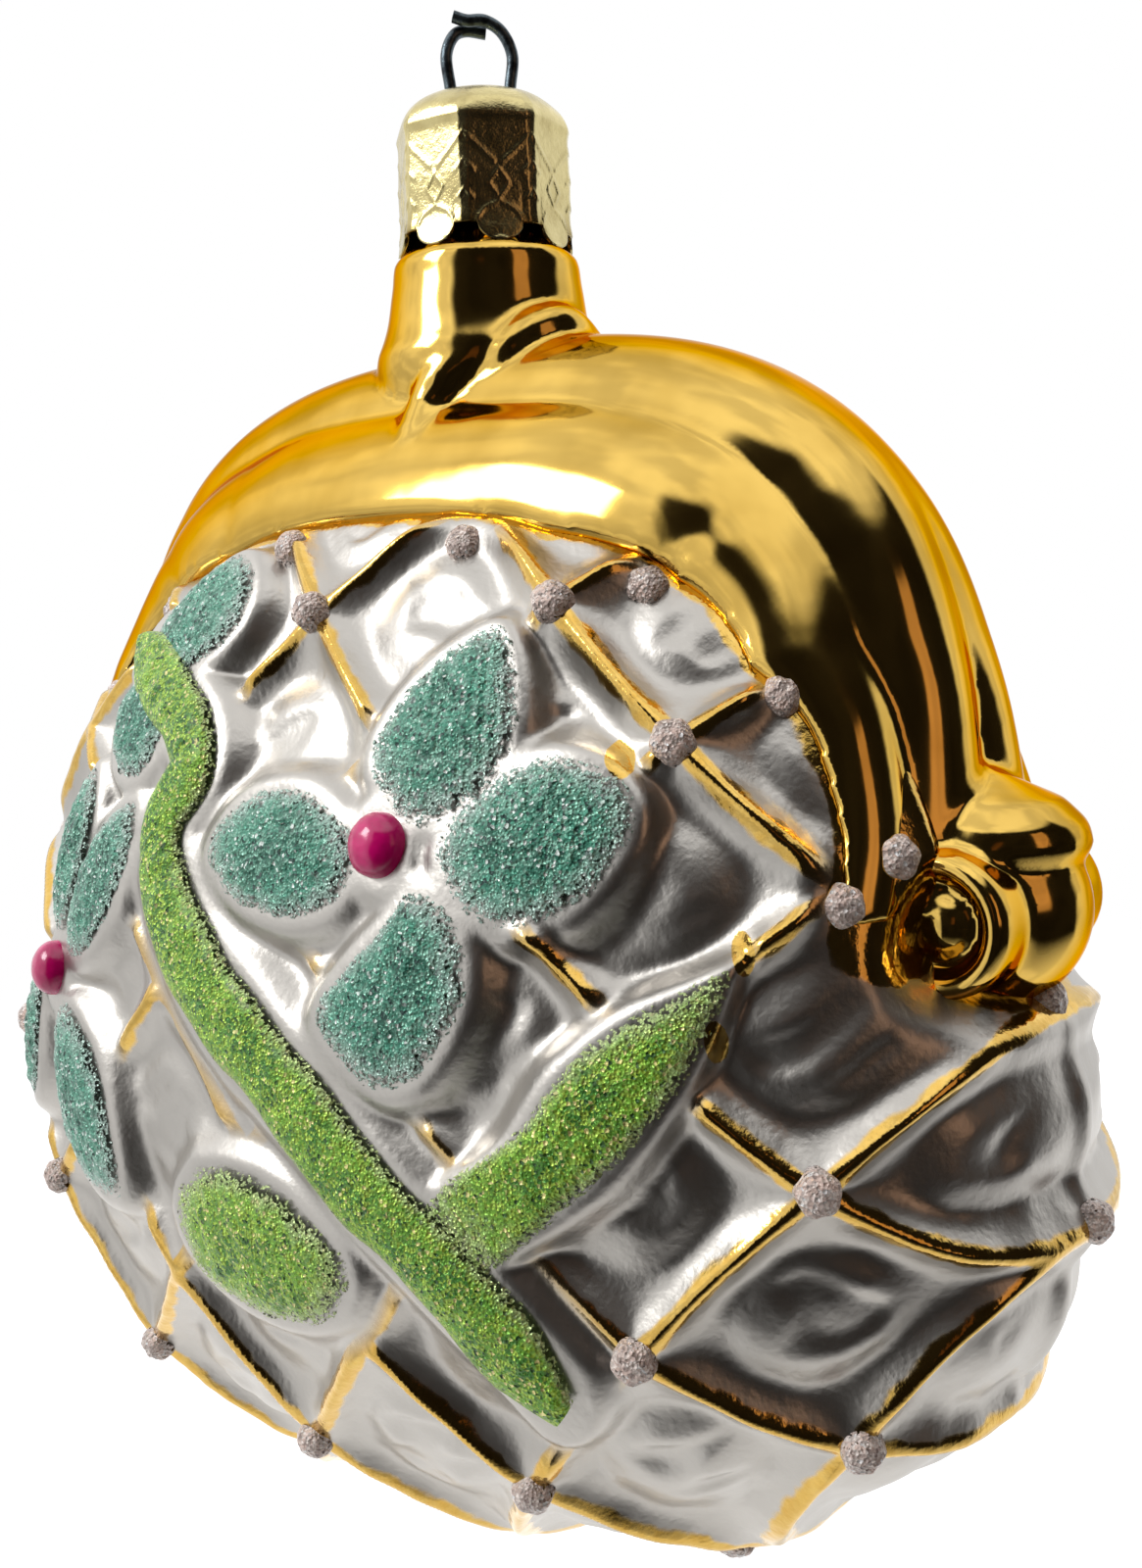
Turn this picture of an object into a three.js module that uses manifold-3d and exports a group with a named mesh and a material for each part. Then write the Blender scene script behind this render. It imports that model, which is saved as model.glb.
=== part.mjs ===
// Hanging ornament of blown glass in the shape of a clasp purse, in millimetres.
// +Z is up, the front with the flowers faces -Y, and the origin is the inside top of the wire loop.
import * as THREE from "three";
import { mergeVertices } from "three/addons/utils/BufferGeometryUtils.js";
import Module from "manifold-3d";

const wasm = await Module();
wasm.setup();

// Wire hanger: one wire whose ends lap at the top of the loop and whose bow springs in the neck.
const wireDiameter = 0.75;
const loopHalfWidth = 2.05;
const loopRise = 4.8;
const lapRise = 0.85;
const lapOffset = 0.4;
const hangerTurn = 41;
const bowDepth = 13;
const wireSides = 8;
const wireSteps = 66;

// Stamped cap with flat panels and a tab under each.
const capPanels = 8;
const capAcrossFlats = 10.3;
const capHeight = 9.85;
const capDome = 3.15;
const capWall = 0.35;
const capFlare = 0.3;
const tabLength = 1.1;
const tabShare = 0.66;
const holeSpread = 1.75;
const holeGap = 0.45;
const capTurn = 6;
const capFacets = 64;

// Glass neck, and the clearance that touching pieces keep.
const fitGap = 0.3;
const glassWall = 0.7;
const rimStep = 0.3;
const neckWaist = 6.1;
const neckFoot = 7.4;
const neckLength = 5.225;

// Clasp frame: its crest is a superellipse in the plane of the mould seam.
const archHalfWidth = 33.3;
const archHeight = 32.4;
const archFullness = 2.8;
const bandTop = 11;
const bandEnd = 5.5;
const frameHalfDepth = 10.8;
const creaseShare = 0.6;
const frameEndDepth = 5.4;
const bandTuck = 1.5;
const hollowTuck = 4;
const rollBulge = 0.9;

// Clasp knobs at the foot of the neck, and ball bosses at the ends of the frame.
const knobRadius = 2.7;
const bossRadius = 5.3;
const bossDrop = 0.7;
const bossWall = 0.9;
const collarRadius = 5.6;
const buttonRadius = 3.5;
const buttonRise = 1.3;

// Quilted bag: half sizes at its widest level, and how full its outline is above and below that.
const widestDrop = 46.4;
const bagHalfWidth = 38;
const bagHalfDepth = 22;
const bagUpper = 41;
const bagLower = 26.5;
const bagSquareness = 2.25;
const widthFullness = 2.1;
const depthFullness = 1.9;
const floorFullness = 2.2;

// Diamond lattice, pressed in flat from the front and the back: its rows sag towards the floor.
const latticeColumns = 20;
const columnPitch = 7.7;
const rowPitch = 6.85;
const rowSag = 6.5;
const sagHalfWidth = 30;
const zeroRowDrop = 5;
const topRow = -6.33;
const floorRow = 3;
const faceShare = 0.85;
const gridPerCell = 3;
const puffHeight = 1.1;
const ridgeHeight = 1.15;
const ridgeShare = 0.06;

// Glitter and enamel on the glass.
const padSeat = 0.9;
const padGap = 0.38;
const petalHalfWidth = 3.6;
const petalRise = 1.7;
const vineHalfWidth = 2;
const vineRise = 1.1;
const leafRise = 1.5;
const beadRadius = 1.5;
const dotRadius = 1.15;
const dotHeight = 0.9;

const wireRadius = wireDiameter / 2;
const loopTop = wireRadius + lapRise;
const capTop = loopTop - loopRise;
const capFoot = capTop - capHeight;
const crestZ = capFoot - neckLength;
const bossZ = crestZ - archHeight;
const widestZ = crestZ - widestDrop;
const gripRadius = capAcrossFlats / 2 - capWall - fitGap;
const rimRadius = gripRadius - rimStep;
const boreRadius = rimRadius - glassWall;
const rimZ = capTop - capDome * 0.55 - capWall - fitGap * 1.3;

// A quarter of the bag's outline, from its widest level to a pole, measured down the skin.
const skinShare = 1.45;
const upperArc = bagUpper * skinShare;
const lowerArc = bagLower * skinShare;
const turnPerMm = 1 / (bagHalfWidth * 1.16);
const downPerMm = (skinShare * 2) / Math.PI;

function solid(geometry) {
  const bare = geometry.index ? geometry.toNonIndexed() : geometry.clone();
  bare.deleteAttribute("normal");
  bare.deleteAttribute("uv");
  const merged = mergeVertices(bare, 1e-4);
  const mesh = new wasm.Mesh({
    numProp: 3,
    vertProperties: merged.attributes.position.array,
    triVerts: new Uint32Array(merged.index.array),
  });
  return new wasm.Manifold(mesh);
}

function geometryOf(body) {
  const mesh = body.getMesh();
  const geometry = new THREE.BufferGeometry();
  geometry.setAttribute("position", new THREE.BufferAttribute(mesh.vertProperties, 3));
  geometry.setIndex(new THREE.BufferAttribute(mesh.triVerts, 1));
  return geometry;
}

// A closed skin through rings of points, with a fan at each end; split picks the diagonal.
function loft(rings, split = () => false) {
  const count = rings[0].length;
  const points = rings.flat();
  const index = [];
  for (let r = 0; r + 1 < rings.length; r += 1) {
    for (let i = 0; i < count; i += 1) {
      const a = r * count + i;
      const b = r * count + ((i + 1) % count);
      const c = a + count;
      const d = b + count;
      if (split(r, i)) index.push(a, c, b, b, c, d);
      else index.push(a, c, d, a, d, b);
    }
  }
  const last = (rings.length - 1) * count;
  for (const ring of [rings[0], rings[rings.length - 1]]) {
    const middle = ring.reduce((sum, p) => sum.add(p), new THREE.Vector3());
    points.push(middle.divideScalar(count));
  }
  for (let i = 0; i < count; i += 1) {
    const next = (i + 1) % count;
    index.push(points.length - 2, i, next);
    index.push(points.length - 1, last + next, last + i);
  }
  if (signedVolume(points, index) < 0) index.reverse();
  const geometry = new THREE.BufferGeometry().setFromPoints(points);
  geometry.setIndex(index);
  return geometry;
}

function signedVolume(points, index) {
  let sum = 0;
  for (let i = 0; i < index.length; i += 3) {
    const [a, b, c] = [points[index[i]], points[index[i + 1]], points[index[i + 2]]];
    sum += a.dot(new THREE.Vector3().crossVectors(b, c));
  }
  return sum;
}

const power = (value, exponent) => Math.sign(value) * Math.abs(value) ** exponent;

// Half width and half depth of the bag at a distance down from its widest level, and its height.
function bagLevel(down, inset = 0) {
  const angle = THREE.MathUtils.clamp(down / (down < 0 ? upperArc : lowerArc), -1, 1) * (Math.PI / 2);
  const sine = Math.abs(Math.sin(angle));
  const shrink = (fullness) => Math.max(1 - sine ** fullness, 0) ** (1 / fullness);
  const upper = down < 0;
  const halfWidth = (bagHalfWidth - inset) * shrink(upper ? widthFullness : floorFullness);
  const halfDepth = (bagHalfDepth - inset) * shrink(upper ? depthFullness : floorFullness);
  const reach = (upper ? bagUpper : -bagLower) + (upper ? -inset : inset);
  return { halfWidth, halfDepth, z: widestZ + reach * sine };
}

// Smooth bag at a turn round it, 0 in front and positive to +X, and a distance down.
function bagBase(turn, down, inset = 0) {
  const { halfWidth, halfDepth, z } = bagLevel(down, inset);
  return new THREE.Vector3(
    halfWidth * power(Math.sin(turn), 2 / bagSquareness),
    -halfDepth * power(Math.cos(turn), 2 / bagSquareness),
    z,
  );
}

function bagPoint(turn, down, lift) {
  const step = 0.01;
  const alongTurn = bagBase(turn + step, down).sub(bagBase(turn - step, down));
  const alongDown = bagBase(turn, down + 10 * step).sub(bagBase(turn, down - 10 * step));
  const normal = alongTurn.cross(alongDown).normalize();
  return bagBase(turn, down).addScaledVector(normal, -lift);
}

const wrap = (value) => value - Math.floor(value);

// Lift of the quilted skin over the smooth bag; a and b run from ridge to ridge across a cell.
function quilt(column, row) {
  const a = wrap((column + row + 1) / 2);
  const b = wrap((column - row + 1) / 2);
  const puff = puffHeight * Math.sin(Math.PI * a) * Math.sin(Math.PI * b);
  const nearest = Math.min(a, 1 - a, b, 1 - b);
  return puff + ridgeHeight * Math.exp(-((nearest / ridgeShare) ** 2));
}

// A place on the skin by lattice column and row: its turn, and its distance down the skin.
// Columns keep their pitch across a face, and close up towards the seam; the last row is the floor.
function at(column, row) {
  const seam = latticeColumns / 4;
  const face = Math.floor((column + seam) / (2 * seam));
  const fromMiddle = column - face * 2 * seam;
  const across = Math.abs(fromMiddle) * columnPitch;
  const lastRow = floorRow - 1;
  const level = Math.min(row, lastRow);
  const sag = rowSag * THREE.MathUtils.smoothstep(level, -2.5, 2) * (1 - (across / sagHalfWidth) ** 2);
  const rise = -zeroRowDrop - level * rowPitch - sag;
  const sine = Math.min(rise > 0 ? rise / bagUpper : -rise / bagLower, 0.99);
  const drawn = (Math.asin(sine) / (Math.PI / 2)) * (rise > 0 ? -upperArc : lowerArc);
  const down = THREE.MathUtils.lerp(drawn, lowerArc, Math.max(row - lastRow, 0));
  const width = bagLevel(drawn).halfWidth;
  const kneeTurn = Math.asin(faceShare ** (bagSquareness / 2));
  const kneeColumn = (faceShare * width) / columnPitch;
  const share = across / width;
  const pastKnee = (Math.abs(fromMiddle) - kneeColumn) / (seam - kneeColumn);
  const turn =
    share < faceShare
      ? Math.asin(share ** (bagSquareness / 2))
      : THREE.MathUtils.lerp(kneeTurn, Math.PI / 2, pastKnee);
  return new THREE.Vector2(face * Math.PI + Math.sign(fromMiddle) * turn, down);
}

// Steps across the skin in millimetres, to the right and down, from a place.
function stepFrom(place, right, down) {
  return new THREE.Vector2(place.x + right * turnPerMm, place.y + down * downPerMm);
}

function skinDistance(a, b) {
  const turn = Math.abs(a.x - b.x) % (2 * Math.PI);
  const across = Math.min(turn, 2 * Math.PI - turn) / turnPerMm;
  return Math.hypot(across, (a.y - b.y) / downPerMm);
}

// Flowers, leaves and vine: each runs between two places, its breadth a share of a petal's.
const flowers = [
  {
    name: "flower",
    bead: at(1.16, -3.24),
    petals: [
      { from: at(1.36, -3.58), to: at(1.74, -4.46), breadth: 1 },
      { from: at(1.67, -3.24), to: at(2.79, -3.5), breadth: 0.97 },
      { from: at(1.44, -2.83), to: at(1.37, -1.59), breadth: 1.06 },
      { from: at(0.86, -3.19), to: at(-0.38, -3.08), breadth: 0.86 },
    ],
  },
  {
    name: "side_flower",
    bead: at(-2.63, -1.87),
    petals: [
      { from: at(-2.55, -2.28), to: at(-2.37, -3.54), breadth: 0.78 },
      { from: at(-2.27, -2.14), to: at(-1.54, -3.29), breadth: 0.72 },
      { from: at(-2.96, -1.61), to: at(-3.32, -0.68), breadth: 0.78 },
      { from: at(-2.45, -1.47), to: at(-1.65, -0.49), breadth: 0.81 },
    ],
  },
];

const budPetals = [
  { name: "bud_petal_upper", from: at(-1.54, -5.16), to: at(-0.98, -5.49), breadth: 0.67 },
  { name: "bud_petal_lower", from: at(-2.06, -4.43), to: at(-1.79, -3.73), breadth: 0.69 },
];

const vineRoute = [
  at(-1.75, -4.93),
  at(-1.42, -4.61),
  at(-1.04, -4.2),
  at(-0.81, -3.71),
  at(-1, -3.21),
  at(-0.84, -2.64),
  at(-0.32, -2.04),
  at(0.33, -1.6),
  at(0.98, -1.26),
  at(1.45, -0.85),
  at(2.1, -0.2),
  at(2.54, 0.42),
];

const leaves = [
  { name: "leaf_right", from: at(2.01, -0.87), to: at(3.43, -2.32), breadth: 0.75, point: 1 },
  { name: "leaf_left", from: at(1.14, -0.16), to: at(-0.7, -0.75), breadth: 0.81, point: 0.8 },
];

// Places and radii of everything that lies on the skin: the quilting is level under it.
const covers = [];
function cover(places, radius) {
  places.forEach((place) => covers.push({ place, radius }));
}

function along(from, to, count) {
  return Array.from({ length: count }, (_, i) => from.clone().lerp(to, (i + 0.5) / count));
}

for (const { bead, petals } of flowers) {
  cover([bead], beadRadius);
  for (const { from, to, breadth } of petals) {
    cover(along(from, to, 4), petalHalfWidth * breadth);
  }
}
for (const { from, to, breadth } of [...budPetals, ...leaves]) {
  cover(along(from, to, 4), petalHalfWidth * breadth);
}
vineRoute.slice(1).forEach((place, i) => cover(along(vineRoute[i], place, 3), vineHalfWidth));

// How much of the quilting a covered place loses: all of it under the shape, none well away.
function levelled(place) {
  let most = 0;
  for (const { place: centre, radius } of covers) {
    const away = skinDistance(place, centre) - radius;
    most = Math.max(most, 1 - THREE.MathUtils.smoothstep(away, 1, 2.6));
  }
  return most;
}

// How far the frame's band hides a point of the bag: 1 under the band, 0 well below its edge.
function underFrame(point) {
  const rise = Math.max(point.z - bossZ, 0) / archHeight;
  const across = Math.abs(point.x) / archHalfWidth;
  const level = (rise ** archFullness + across ** archFullness) ** (1 / archFullness);
  const edge = 1 - THREE.MathUtils.lerp(bandEnd / archHalfWidth, bandTop / archHeight, rise);
  return rise > 0 ? THREE.MathUtils.smoothstep(level, edge - 0.14, edge - 0.03) : 0;
}

// Lift of the finished skin at a place: quilting, level under the pads, gone under the frame.
function skinLift(place, column, row) {
  const relief = quilt(column, row) * Math.min((floorRow - row) / 2, 1);
  const lift = THREE.MathUtils.lerp(relief, padSeat, levelled(place));
  return lift * (1 - underFrame(bagBase(place.x, place.y)));
}

function bagSkin() {
  const around = latticeColumns * gridPerCell;
  const steps = Math.round((floorRow - topRow) * gridPerCell);
  const rings = [];
  const startRow = floorRow * gridPerCell - steps;
  for (let r = startRow; r < floorRow * gridPerCell; r += 1) {
    const row = r / gridPerCell;
    const ring = [];
    for (let i = 0; i < around; i += 1) {
      const column = i / gridPerCell - latticeColumns / 4;
      const place = at(column, row);
      ring.push(bagPoint(place.x, place.y, skinLift(place, column, row)));
    }
    rings.push(ring);
  }
  const split = (r, i) => {
    const cell = Math.floor(i / gridPerCell) + Math.floor((startRow + r) / gridPerCell);
    return cell % 2 !== 0;
  };
  return loft(rings, split);
}

function bagHollow() {
  const steps = 11;
  const around = 30;
  const rings = [];
  for (let r = 0; r <= steps; r += 1) {
    const down = THREE.MathUtils.lerp(-upperArc * 0.85, lowerArc * 0.92, r / steps);
    const ring = [];
    for (let i = 0; i < around; i += 1) {
      ring.push(bagBase((i / around) * 2 * Math.PI, down, glassWall));
    }
    rings.push(ring);
  }
  return loft(rings);
}

// Crest of the frame: 0 at the left boss, 1 at the right one.
function crestAt(share) {
  const angle = (share - 0.5) * Math.PI;
  return new THREE.Vector3(
    archHalfWidth * power(Math.sin(angle), 2 / archFullness),
    0,
    bossZ + archHeight * Math.abs(Math.cos(angle)) ** (2 / archFullness),
  );
}

function crestNormal(share) {
  const a = crestAt(Math.max(share - 0.004, 0));
  const b = crestAt(Math.min(share + 0.004, 1));
  const along = b.sub(a).normalize();
  return new THREE.Vector3(-along.z, 0, along.x);
}

// Half section of the frame from the crest to its inner edge: two rolls with a crease between.
function frameHalf(band, depth, inset, facets) {
  const crease = new THREE.Vector2(-0.42 * band, creaseShare * depth);
  const edge = new THREE.Vector2(-band, depth);
  const half = [new THREE.Vector2(-0.3 - inset, 0)];
  const roll = (from, to, bulge) => {
    const out = new THREE.Vector2(to.y - from.y, from.x - to.x).normalize();
    for (let i = 1; i <= facets; i += 1) {
      const t = i / facets;
      const p = from.clone().lerp(to, t);
      half.push(p.addScaledVector(out, bulge * 4 * t * (1 - t) - inset));
    }
  };
  roll(new THREE.Vector2(-0.3, 0), crease, rollBulge * 1.5);
  roll(crease, edge, rollBulge);
  if (inset) half.pop();
  const tuck = inset ? hollowTuck : bandTuck;
  half.push(new THREE.Vector2(-band - tuck, depth * 0.65 - inset));
  return half;
}

function frameSolid(inset, steps, facets) {
  const rings = [];
  for (let i = 0; i <= steps; i += 1) {
    const share = i / steps;
    const reach = Math.abs(share - 0.5) * 2;
    const band = THREE.MathUtils.lerp(bandTop, bandEnd, reach ** 1.5);
    const depth = THREE.MathUtils.lerp(frameHalfDepth, frameEndDepth, reach ** 3);
    const half = frameHalf(band, depth, inset, facets);
    const crest = crestAt(share);
    const out = crestNormal(share);
    const back = half.slice(1).reverse();
    const ring = [];
    for (const p of half) {
      ring.push(crest.clone().addScaledVector(out, p.x).setY(-p.y));
    }
    for (const p of back) {
      ring.push(crest.clone().addScaledVector(out, p.x).setY(p.y));
    }
    rings.push(ring);
  }
  return solid(loft(rings));
}

function lathe(profile, facets) {
  const points = profile.map(([r, z]) => new THREE.Vector2(r, z));
  return new THREE.LatheGeometry(points, facets).rotateX(Math.PI / 2);
}

function neckOuter() {
  return solid(
    lathe(
      [
        [0, crestZ - 6],
        [neckFoot - 2.4, crestZ - 6],
        [neckFoot - 0.2, crestZ - 3],
        [neckFoot + 0.3, crestZ - 0.8],
        [neckFoot - 0.1, crestZ + 0.3],
        [neckWaist + 0.7, crestZ + 1.6],
        [neckWaist + 0.2, crestZ + 3.4],
        [neckWaist, capFoot - 1.6],
        [neckWaist - 0.25, capFoot - 0.8],
        [gripRadius, capFoot - fitGap],
        [gripRadius, capFoot + 1.2],
        [rimRadius, capFoot + 4],
        [rimRadius, rimZ - 0.3],
        [rimRadius - 0.3, rimZ],
        [0, rimZ],
      ],
      36,
    ),
  );
}

function neckBore() {
  return solid(
    lathe(
      [
        [0, crestZ - bandTop],
        [neckWaist - glassWall, crestZ - bandTop],
        [neckWaist - glassWall, capFoot - 2],
        [boreRadius, capFoot],
        [boreRadius, capTop + 1],
        [0, capTop + 1],
      ],
      28,
    ),
  );
}

function boss(side) {
  const ball = solid(new THREE.SphereGeometry(bossRadius, 20, 12));
  const collar = solid(
    lathe(
      [
        [0, 1.5],
        [collarRadius - 1, 2.2],
        [collarRadius - 0.1, 3.6],
        [collarRadius, 4.7],
        [collarRadius - 0.8, 6],
        [0, 7.4],
      ],
      20,
    ),
  );
  const button = solid(
    lathe(
      [
        [0, 2],
        [buttonRadius, 2],
        [buttonRadius, bossRadius],
        [buttonRadius - 0.6, bossRadius + buttonRise - 0.5],
        [buttonRadius - 1.3, bossRadius - 0.1],
        [1, bossRadius + 0.4],
        [0, bossRadius + 0.7],
      ],
      18,
    ),
  );
  return ball
    .add(collar)
    .add(button.rotate([90, 0, 0]))
    .add(button.rotate([-90, 0, 0]))
    .translate([side * archHalfWidth, 0, bossZ - bossDrop]);
}

// The two knobs of the clasp lie against the foot of the neck.
function knob(x, y, rise) {
  const ball = new THREE.SphereGeometry(knobRadius, 16, 10);
  return solid(ball.scale(1, 1, 1.15).translate(x, y, crestZ + rise));
}

function glassShell() {
  let outer = solid(bagSkin()).add(frameSolid(0, 36, 4)).add(neckOuter());
  outer = outer.add(knob(2, -neckFoot + 0.4, -1.2)).add(knob(neckFoot - 0.4, -1.6, 0.9));
  for (const side of [-1, 1]) {
    outer = outer.add(boss(side));
  }
  let hollow = solid(bagHollow()).add(neckBore()).add(frameSolid(glassWall, 18, 2));
  for (const side of [-1, 1]) {
    const ball = new THREE.SphereGeometry(bossRadius - bossWall, 12, 8);
    hollow = hollow.add(solid(ball.translate(side * archHalfWidth, 0, bossZ - bossDrop)));
  }
  return outer.subtract(hollow);
}

// Ring of the cap: octagonal where flat is 1, round where it is 0.
function capRing(radius, z, flat, tabs = 0) {
  const ring = [];
  const sector = (2 * Math.PI) / capPanels;
  for (let i = 0; i < capFacets; i += 1) {
    const angle = (i / capFacets) * 2 * Math.PI;
    const fromMiddle = Math.abs(wrap(angle / sector) - 0.5) * 2;
    const corner = 1 / Math.cos((fromMiddle * sector) / 2);
    const r = radius * THREE.MathUtils.lerp(1, corner, flat);
    const lobe = Math.sqrt(Math.max(1 - (fromMiddle / tabShare) ** 2, 0));
    const turned = angle + sector / 2;
    ring.push(new THREE.Vector3(r * Math.sin(turned), -r * Math.cos(turned), z - tabs * tabLength * lobe));
  }
  return ring;
}

function cap() {
  const half = capAcrossFlats / 2;
  const shoulder = capTop - capDome;
  const skirt = capFoot + tabLength;
  const outer = [
    capRing(half * 0.3, capTop, 0),
    capRing(half * 0.62, capTop - capDome * 0.22, 0),
    capRing(half * 0.86, capTop - capDome * 0.55, 0.3),
    capRing(half, shoulder, 0.9),
    capRing(half, (shoulder + skirt) / 2, 1),
    capRing(half + capFlare, skirt + 1, 1),
    capRing(half + capFlare, skirt, 1, 1),
  ];
  const inner = [
    capRing(half + capFlare - capWall, skirt, 1, 1),
    capRing(half + capFlare - capWall, skirt + 1, 1),
    capRing(half - capWall, (shoulder + skirt) / 2, 1),
    capRing(half - capWall, shoulder, 0.9),
    capRing(half * 0.86 - capWall, capTop - capDome * 0.55 - capWall, 0.3),
    capRing(half * 0.62 - capWall * 0.6, capTop - capDome * 0.22 - capWall * 1.2, 0),
    capRing(half * 0.3, capTop - capWall, 0),
  ];
  const hole = new THREE.CylinderGeometry(wireRadius + holeGap, wireRadius + holeGap, 6, 14);
  hole.rotateX(Math.PI / 2);
  let body = solid(loft([...outer, ...inner])).rotate([0, 0, capTurn]);
  for (const side of [-1, 1]) {
    const x = side * holeSpread * Math.cos(THREE.MathUtils.degToRad(hangerTurn));
    const y = side * holeSpread * Math.sin(THREE.MathUtils.degToRad(hangerTurn));
    body = body.subtract(solid(hole.clone().translate(x, y, capTop)));
  }
  return geometryOf(body);
}

// The hanger's wire, from the lapped end on top, round the loop, down through the cap and back.
function hanger() {
  const bow = boreRadius - wireRadius - fitGap * 1.6;
  const foot = capTop - bowDepth;
  const front = -lapOffset;
  const points = [
    [-1.5, front, loopTop + 0.25],
    [-0.6, front, loopTop - 0.05],
    [0.5, front * 0.8, loopTop - 0.1],
    [1.5, front * 0.4, loopTop - 0.85],
    [loopHalfWidth, 0, loopTop - 2.3],
    [holeSpread + 0.12, 0, capTop + 0.7],
    [holeSpread, 0, capTop - 0.6],
    [holeSpread + 0.5, 0, capTop - 2.4],
    [bow, 0, capTop - 5.2],
    [bow, 0, foot + bow * 1.05],
    [bow * 0.72, 0, foot + bow * 0.32],
    [0, 0, foot],
    [-bow * 0.72, 0, foot + bow * 0.32],
    [-bow, 0, foot + bow * 1.05],
    [-bow, 0, capTop - 5.2],
    [-holeSpread - 0.5, 0, capTop - 2.4],
    [-holeSpread, 0, capTop - 0.6],
    [-holeSpread - 0.12, 0, capTop + 0.7],
    [-loopHalfWidth, 0, loopTop - 2.3],
    [-1.6, -front * 0.5, loopTop - 1.1],
    [-0.8, -front, wireRadius + 0.12],
    [0.35, -front, wireRadius - 0.05],
  ];
  const path = new THREE.CatmullRomCurve3(
    points.map(([x, y, z]) => new THREE.Vector3(x, y, z)),
    false,
    "centripetal",
  );
  const section = new THREE.Shape();
  for (let i = 0; i < wireSides; i += 1) {
    const angle = (i / wireSides) * 2 * Math.PI;
    const corner = [wireRadius * Math.cos(angle), wireRadius * Math.sin(angle)];
    if (i) section.lineTo(...corner);
    else section.moveTo(...corner);
  }
  section.closePath();
  return new THREE.ExtrudeGeometry(section, { steps: wireSteps, extrudePath: path });
}

// A domed pad on the skin: rings inside its outline, first under it and then over it.
function pad(outlineAt, middle, rise, facets) {
  const underRings = [0.5, 1];
  const overRings = [1, 0.97, 0.82, 0.55, 0.22];
  const ringAt = (share, over) => {
    const dome = over ? 0.12 + 0.88 * Math.sqrt(Math.max(1 - share ** 2.4, 0)) : 0;
    const ring = [];
    for (let i = 0; i < facets; i += 1) {
      const place = middle.clone().lerp(outlineAt(i / facets), share);
      ring.push(bagPoint(place.x, place.y, padSeat + padGap + rise * dome));
    }
    return ring;
  };
  const under = underRings.map((share) => ringAt(share, false));
  const over = overRings.map((share) => ringAt(share, true));
  return loft([...under, ...over]);
}

// Outline of a petal or leaf between two places; point above 1 draws the far end to a tip.
function leafOutline(from, to, halfWidth, point) {
  const across = (to.x - from.x) / turnPerMm;
  const down = (to.y - from.y) / downPerMm;
  const length = Math.hypot(across, down);
  return (share) => {
    const angle = share * 2 * Math.PI;
    const t = (1 - Math.cos(angle)) / 2;
    const side = halfWidth * Math.sign(Math.sin(angle)) * Math.abs(Math.sin(angle)) ** point;
    const swell = side * (1 + 0.35 * (t - 0.5));
    return stepFrom(
      from,
      across * t - (down / length) * swell,
      down * t + (across / length) * swell,
    );
  };
}

function leafPad(from, to, breadth, point, rise, facets) {
  const middle = from.clone().lerp(to, 0.52);
  return pad(leafOutline(from, to, petalHalfWidth * breadth, point), middle, rise, facets);
}

// The vine: a rounded strip swept along its route on the skin.
function vinePad() {
  const curve = new THREE.SplineCurve(vineRoute);
  const steps = 30;
  const rings = [];
  for (let i = 0; i <= steps; i += 1) {
    const t = i / steps;
    const place = curve.getPoint(t);
    const heading = curve.getTangent(t);
    const across = new THREE.Vector2(-heading.y / downPerMm, heading.x / turnPerMm).normalize();
    const taper = Math.min(1, 0.45 + 2.2 * Math.min(t * 1.6, 1 - t));
    const ring = [];
    for (const [side, lift] of vineSection(taper)) {
      const p = stepFrom(place, across.x * side, across.y * side);
      ring.push(bagPoint(p.x, p.y, padSeat + padGap + lift));
    }
    rings.push(ring);
  }
  return loft(rings);
}

function vineSection(taper) {
  const section = [[vineHalfWidth * taper, 0]];
  for (let i = 0; i <= 6; i += 1) {
    const angle = (i / 6) * Math.PI;
    const rise = 0.15 + (vineRise - 0.15) * Math.sin(angle) * taper;
    section.push([vineHalfWidth * taper * Math.cos(angle), rise]);
  }
  section.push([-vineHalfWidth * taper, 0], [0, 0]);
  return section;
}

// A small dome standing on the skin at a place.
function dome(place, radius, height, seat, facets) {
  const profile = [
    [0, 0],
    [radius, 0],
    [radius, height * 0.2],
    [radius * 0.78, height * 0.72],
    [radius * 0.35, height * 0.97],
    [0, height],
  ];
  const geometry = lathe(profile, facets);
  const base = bagPoint(place.x, place.y, seat + padGap);
  const normal = bagPoint(place.x, place.y, seat + padGap + 1).sub(base);
  geometry.applyQuaternion(
    new THREE.Quaternion().setFromUnitVectors(new THREE.Vector3(0, 0, 1), normal),
  );
  return geometry.translate(base.x, base.y, base.z);
}

// Places that carry a dot, by column: crossings of the ridges, and where they meet the frame.
const dotRows = new Map([
  [-5, [-2, 0]],
  [-4.2, [-3.2]],
  [-4, [-2.9, -1, 1]],
  [-3.5, [-4.35]],
  [-3, [0, 2]],
  [-2.5, [-5.2]],
  [-2, [1]],
  [-0.7, [-5.6]],
  [0, [-5, 1]],
  [1, [-5.6]],
  [2, [-5, 1]],
  [2.5, [-5.2]],
  [3, [-4, 0, 2]],
  [3.5, [-4.35]],
  [4, [-2.9, -1, 1]],
  [4.2, [-3.2]],
  [5, [-2, 0]],
]);

const finish = (color, metalness, roughness) =>
  new THREE.MeshStandardMaterial({ color, metalness, roughness });
const silver = finish(0xc9c6c0, 0.9, 0.25);
const gold = finish(0xd9b84a, 1, 0.2);
const steel = finish(0x3a4347, 0.9, 0.4);
const teal = finish(0x4f9a85, 0.2, 0.6);
const green = finish(0x6da32a, 0.2, 0.6);
const magenta = finish(0xc5006b, 0, 0.15);
const frost = finish(0xb09a94, 0.2, 0.6);

const part = new THREE.Group();

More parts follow.
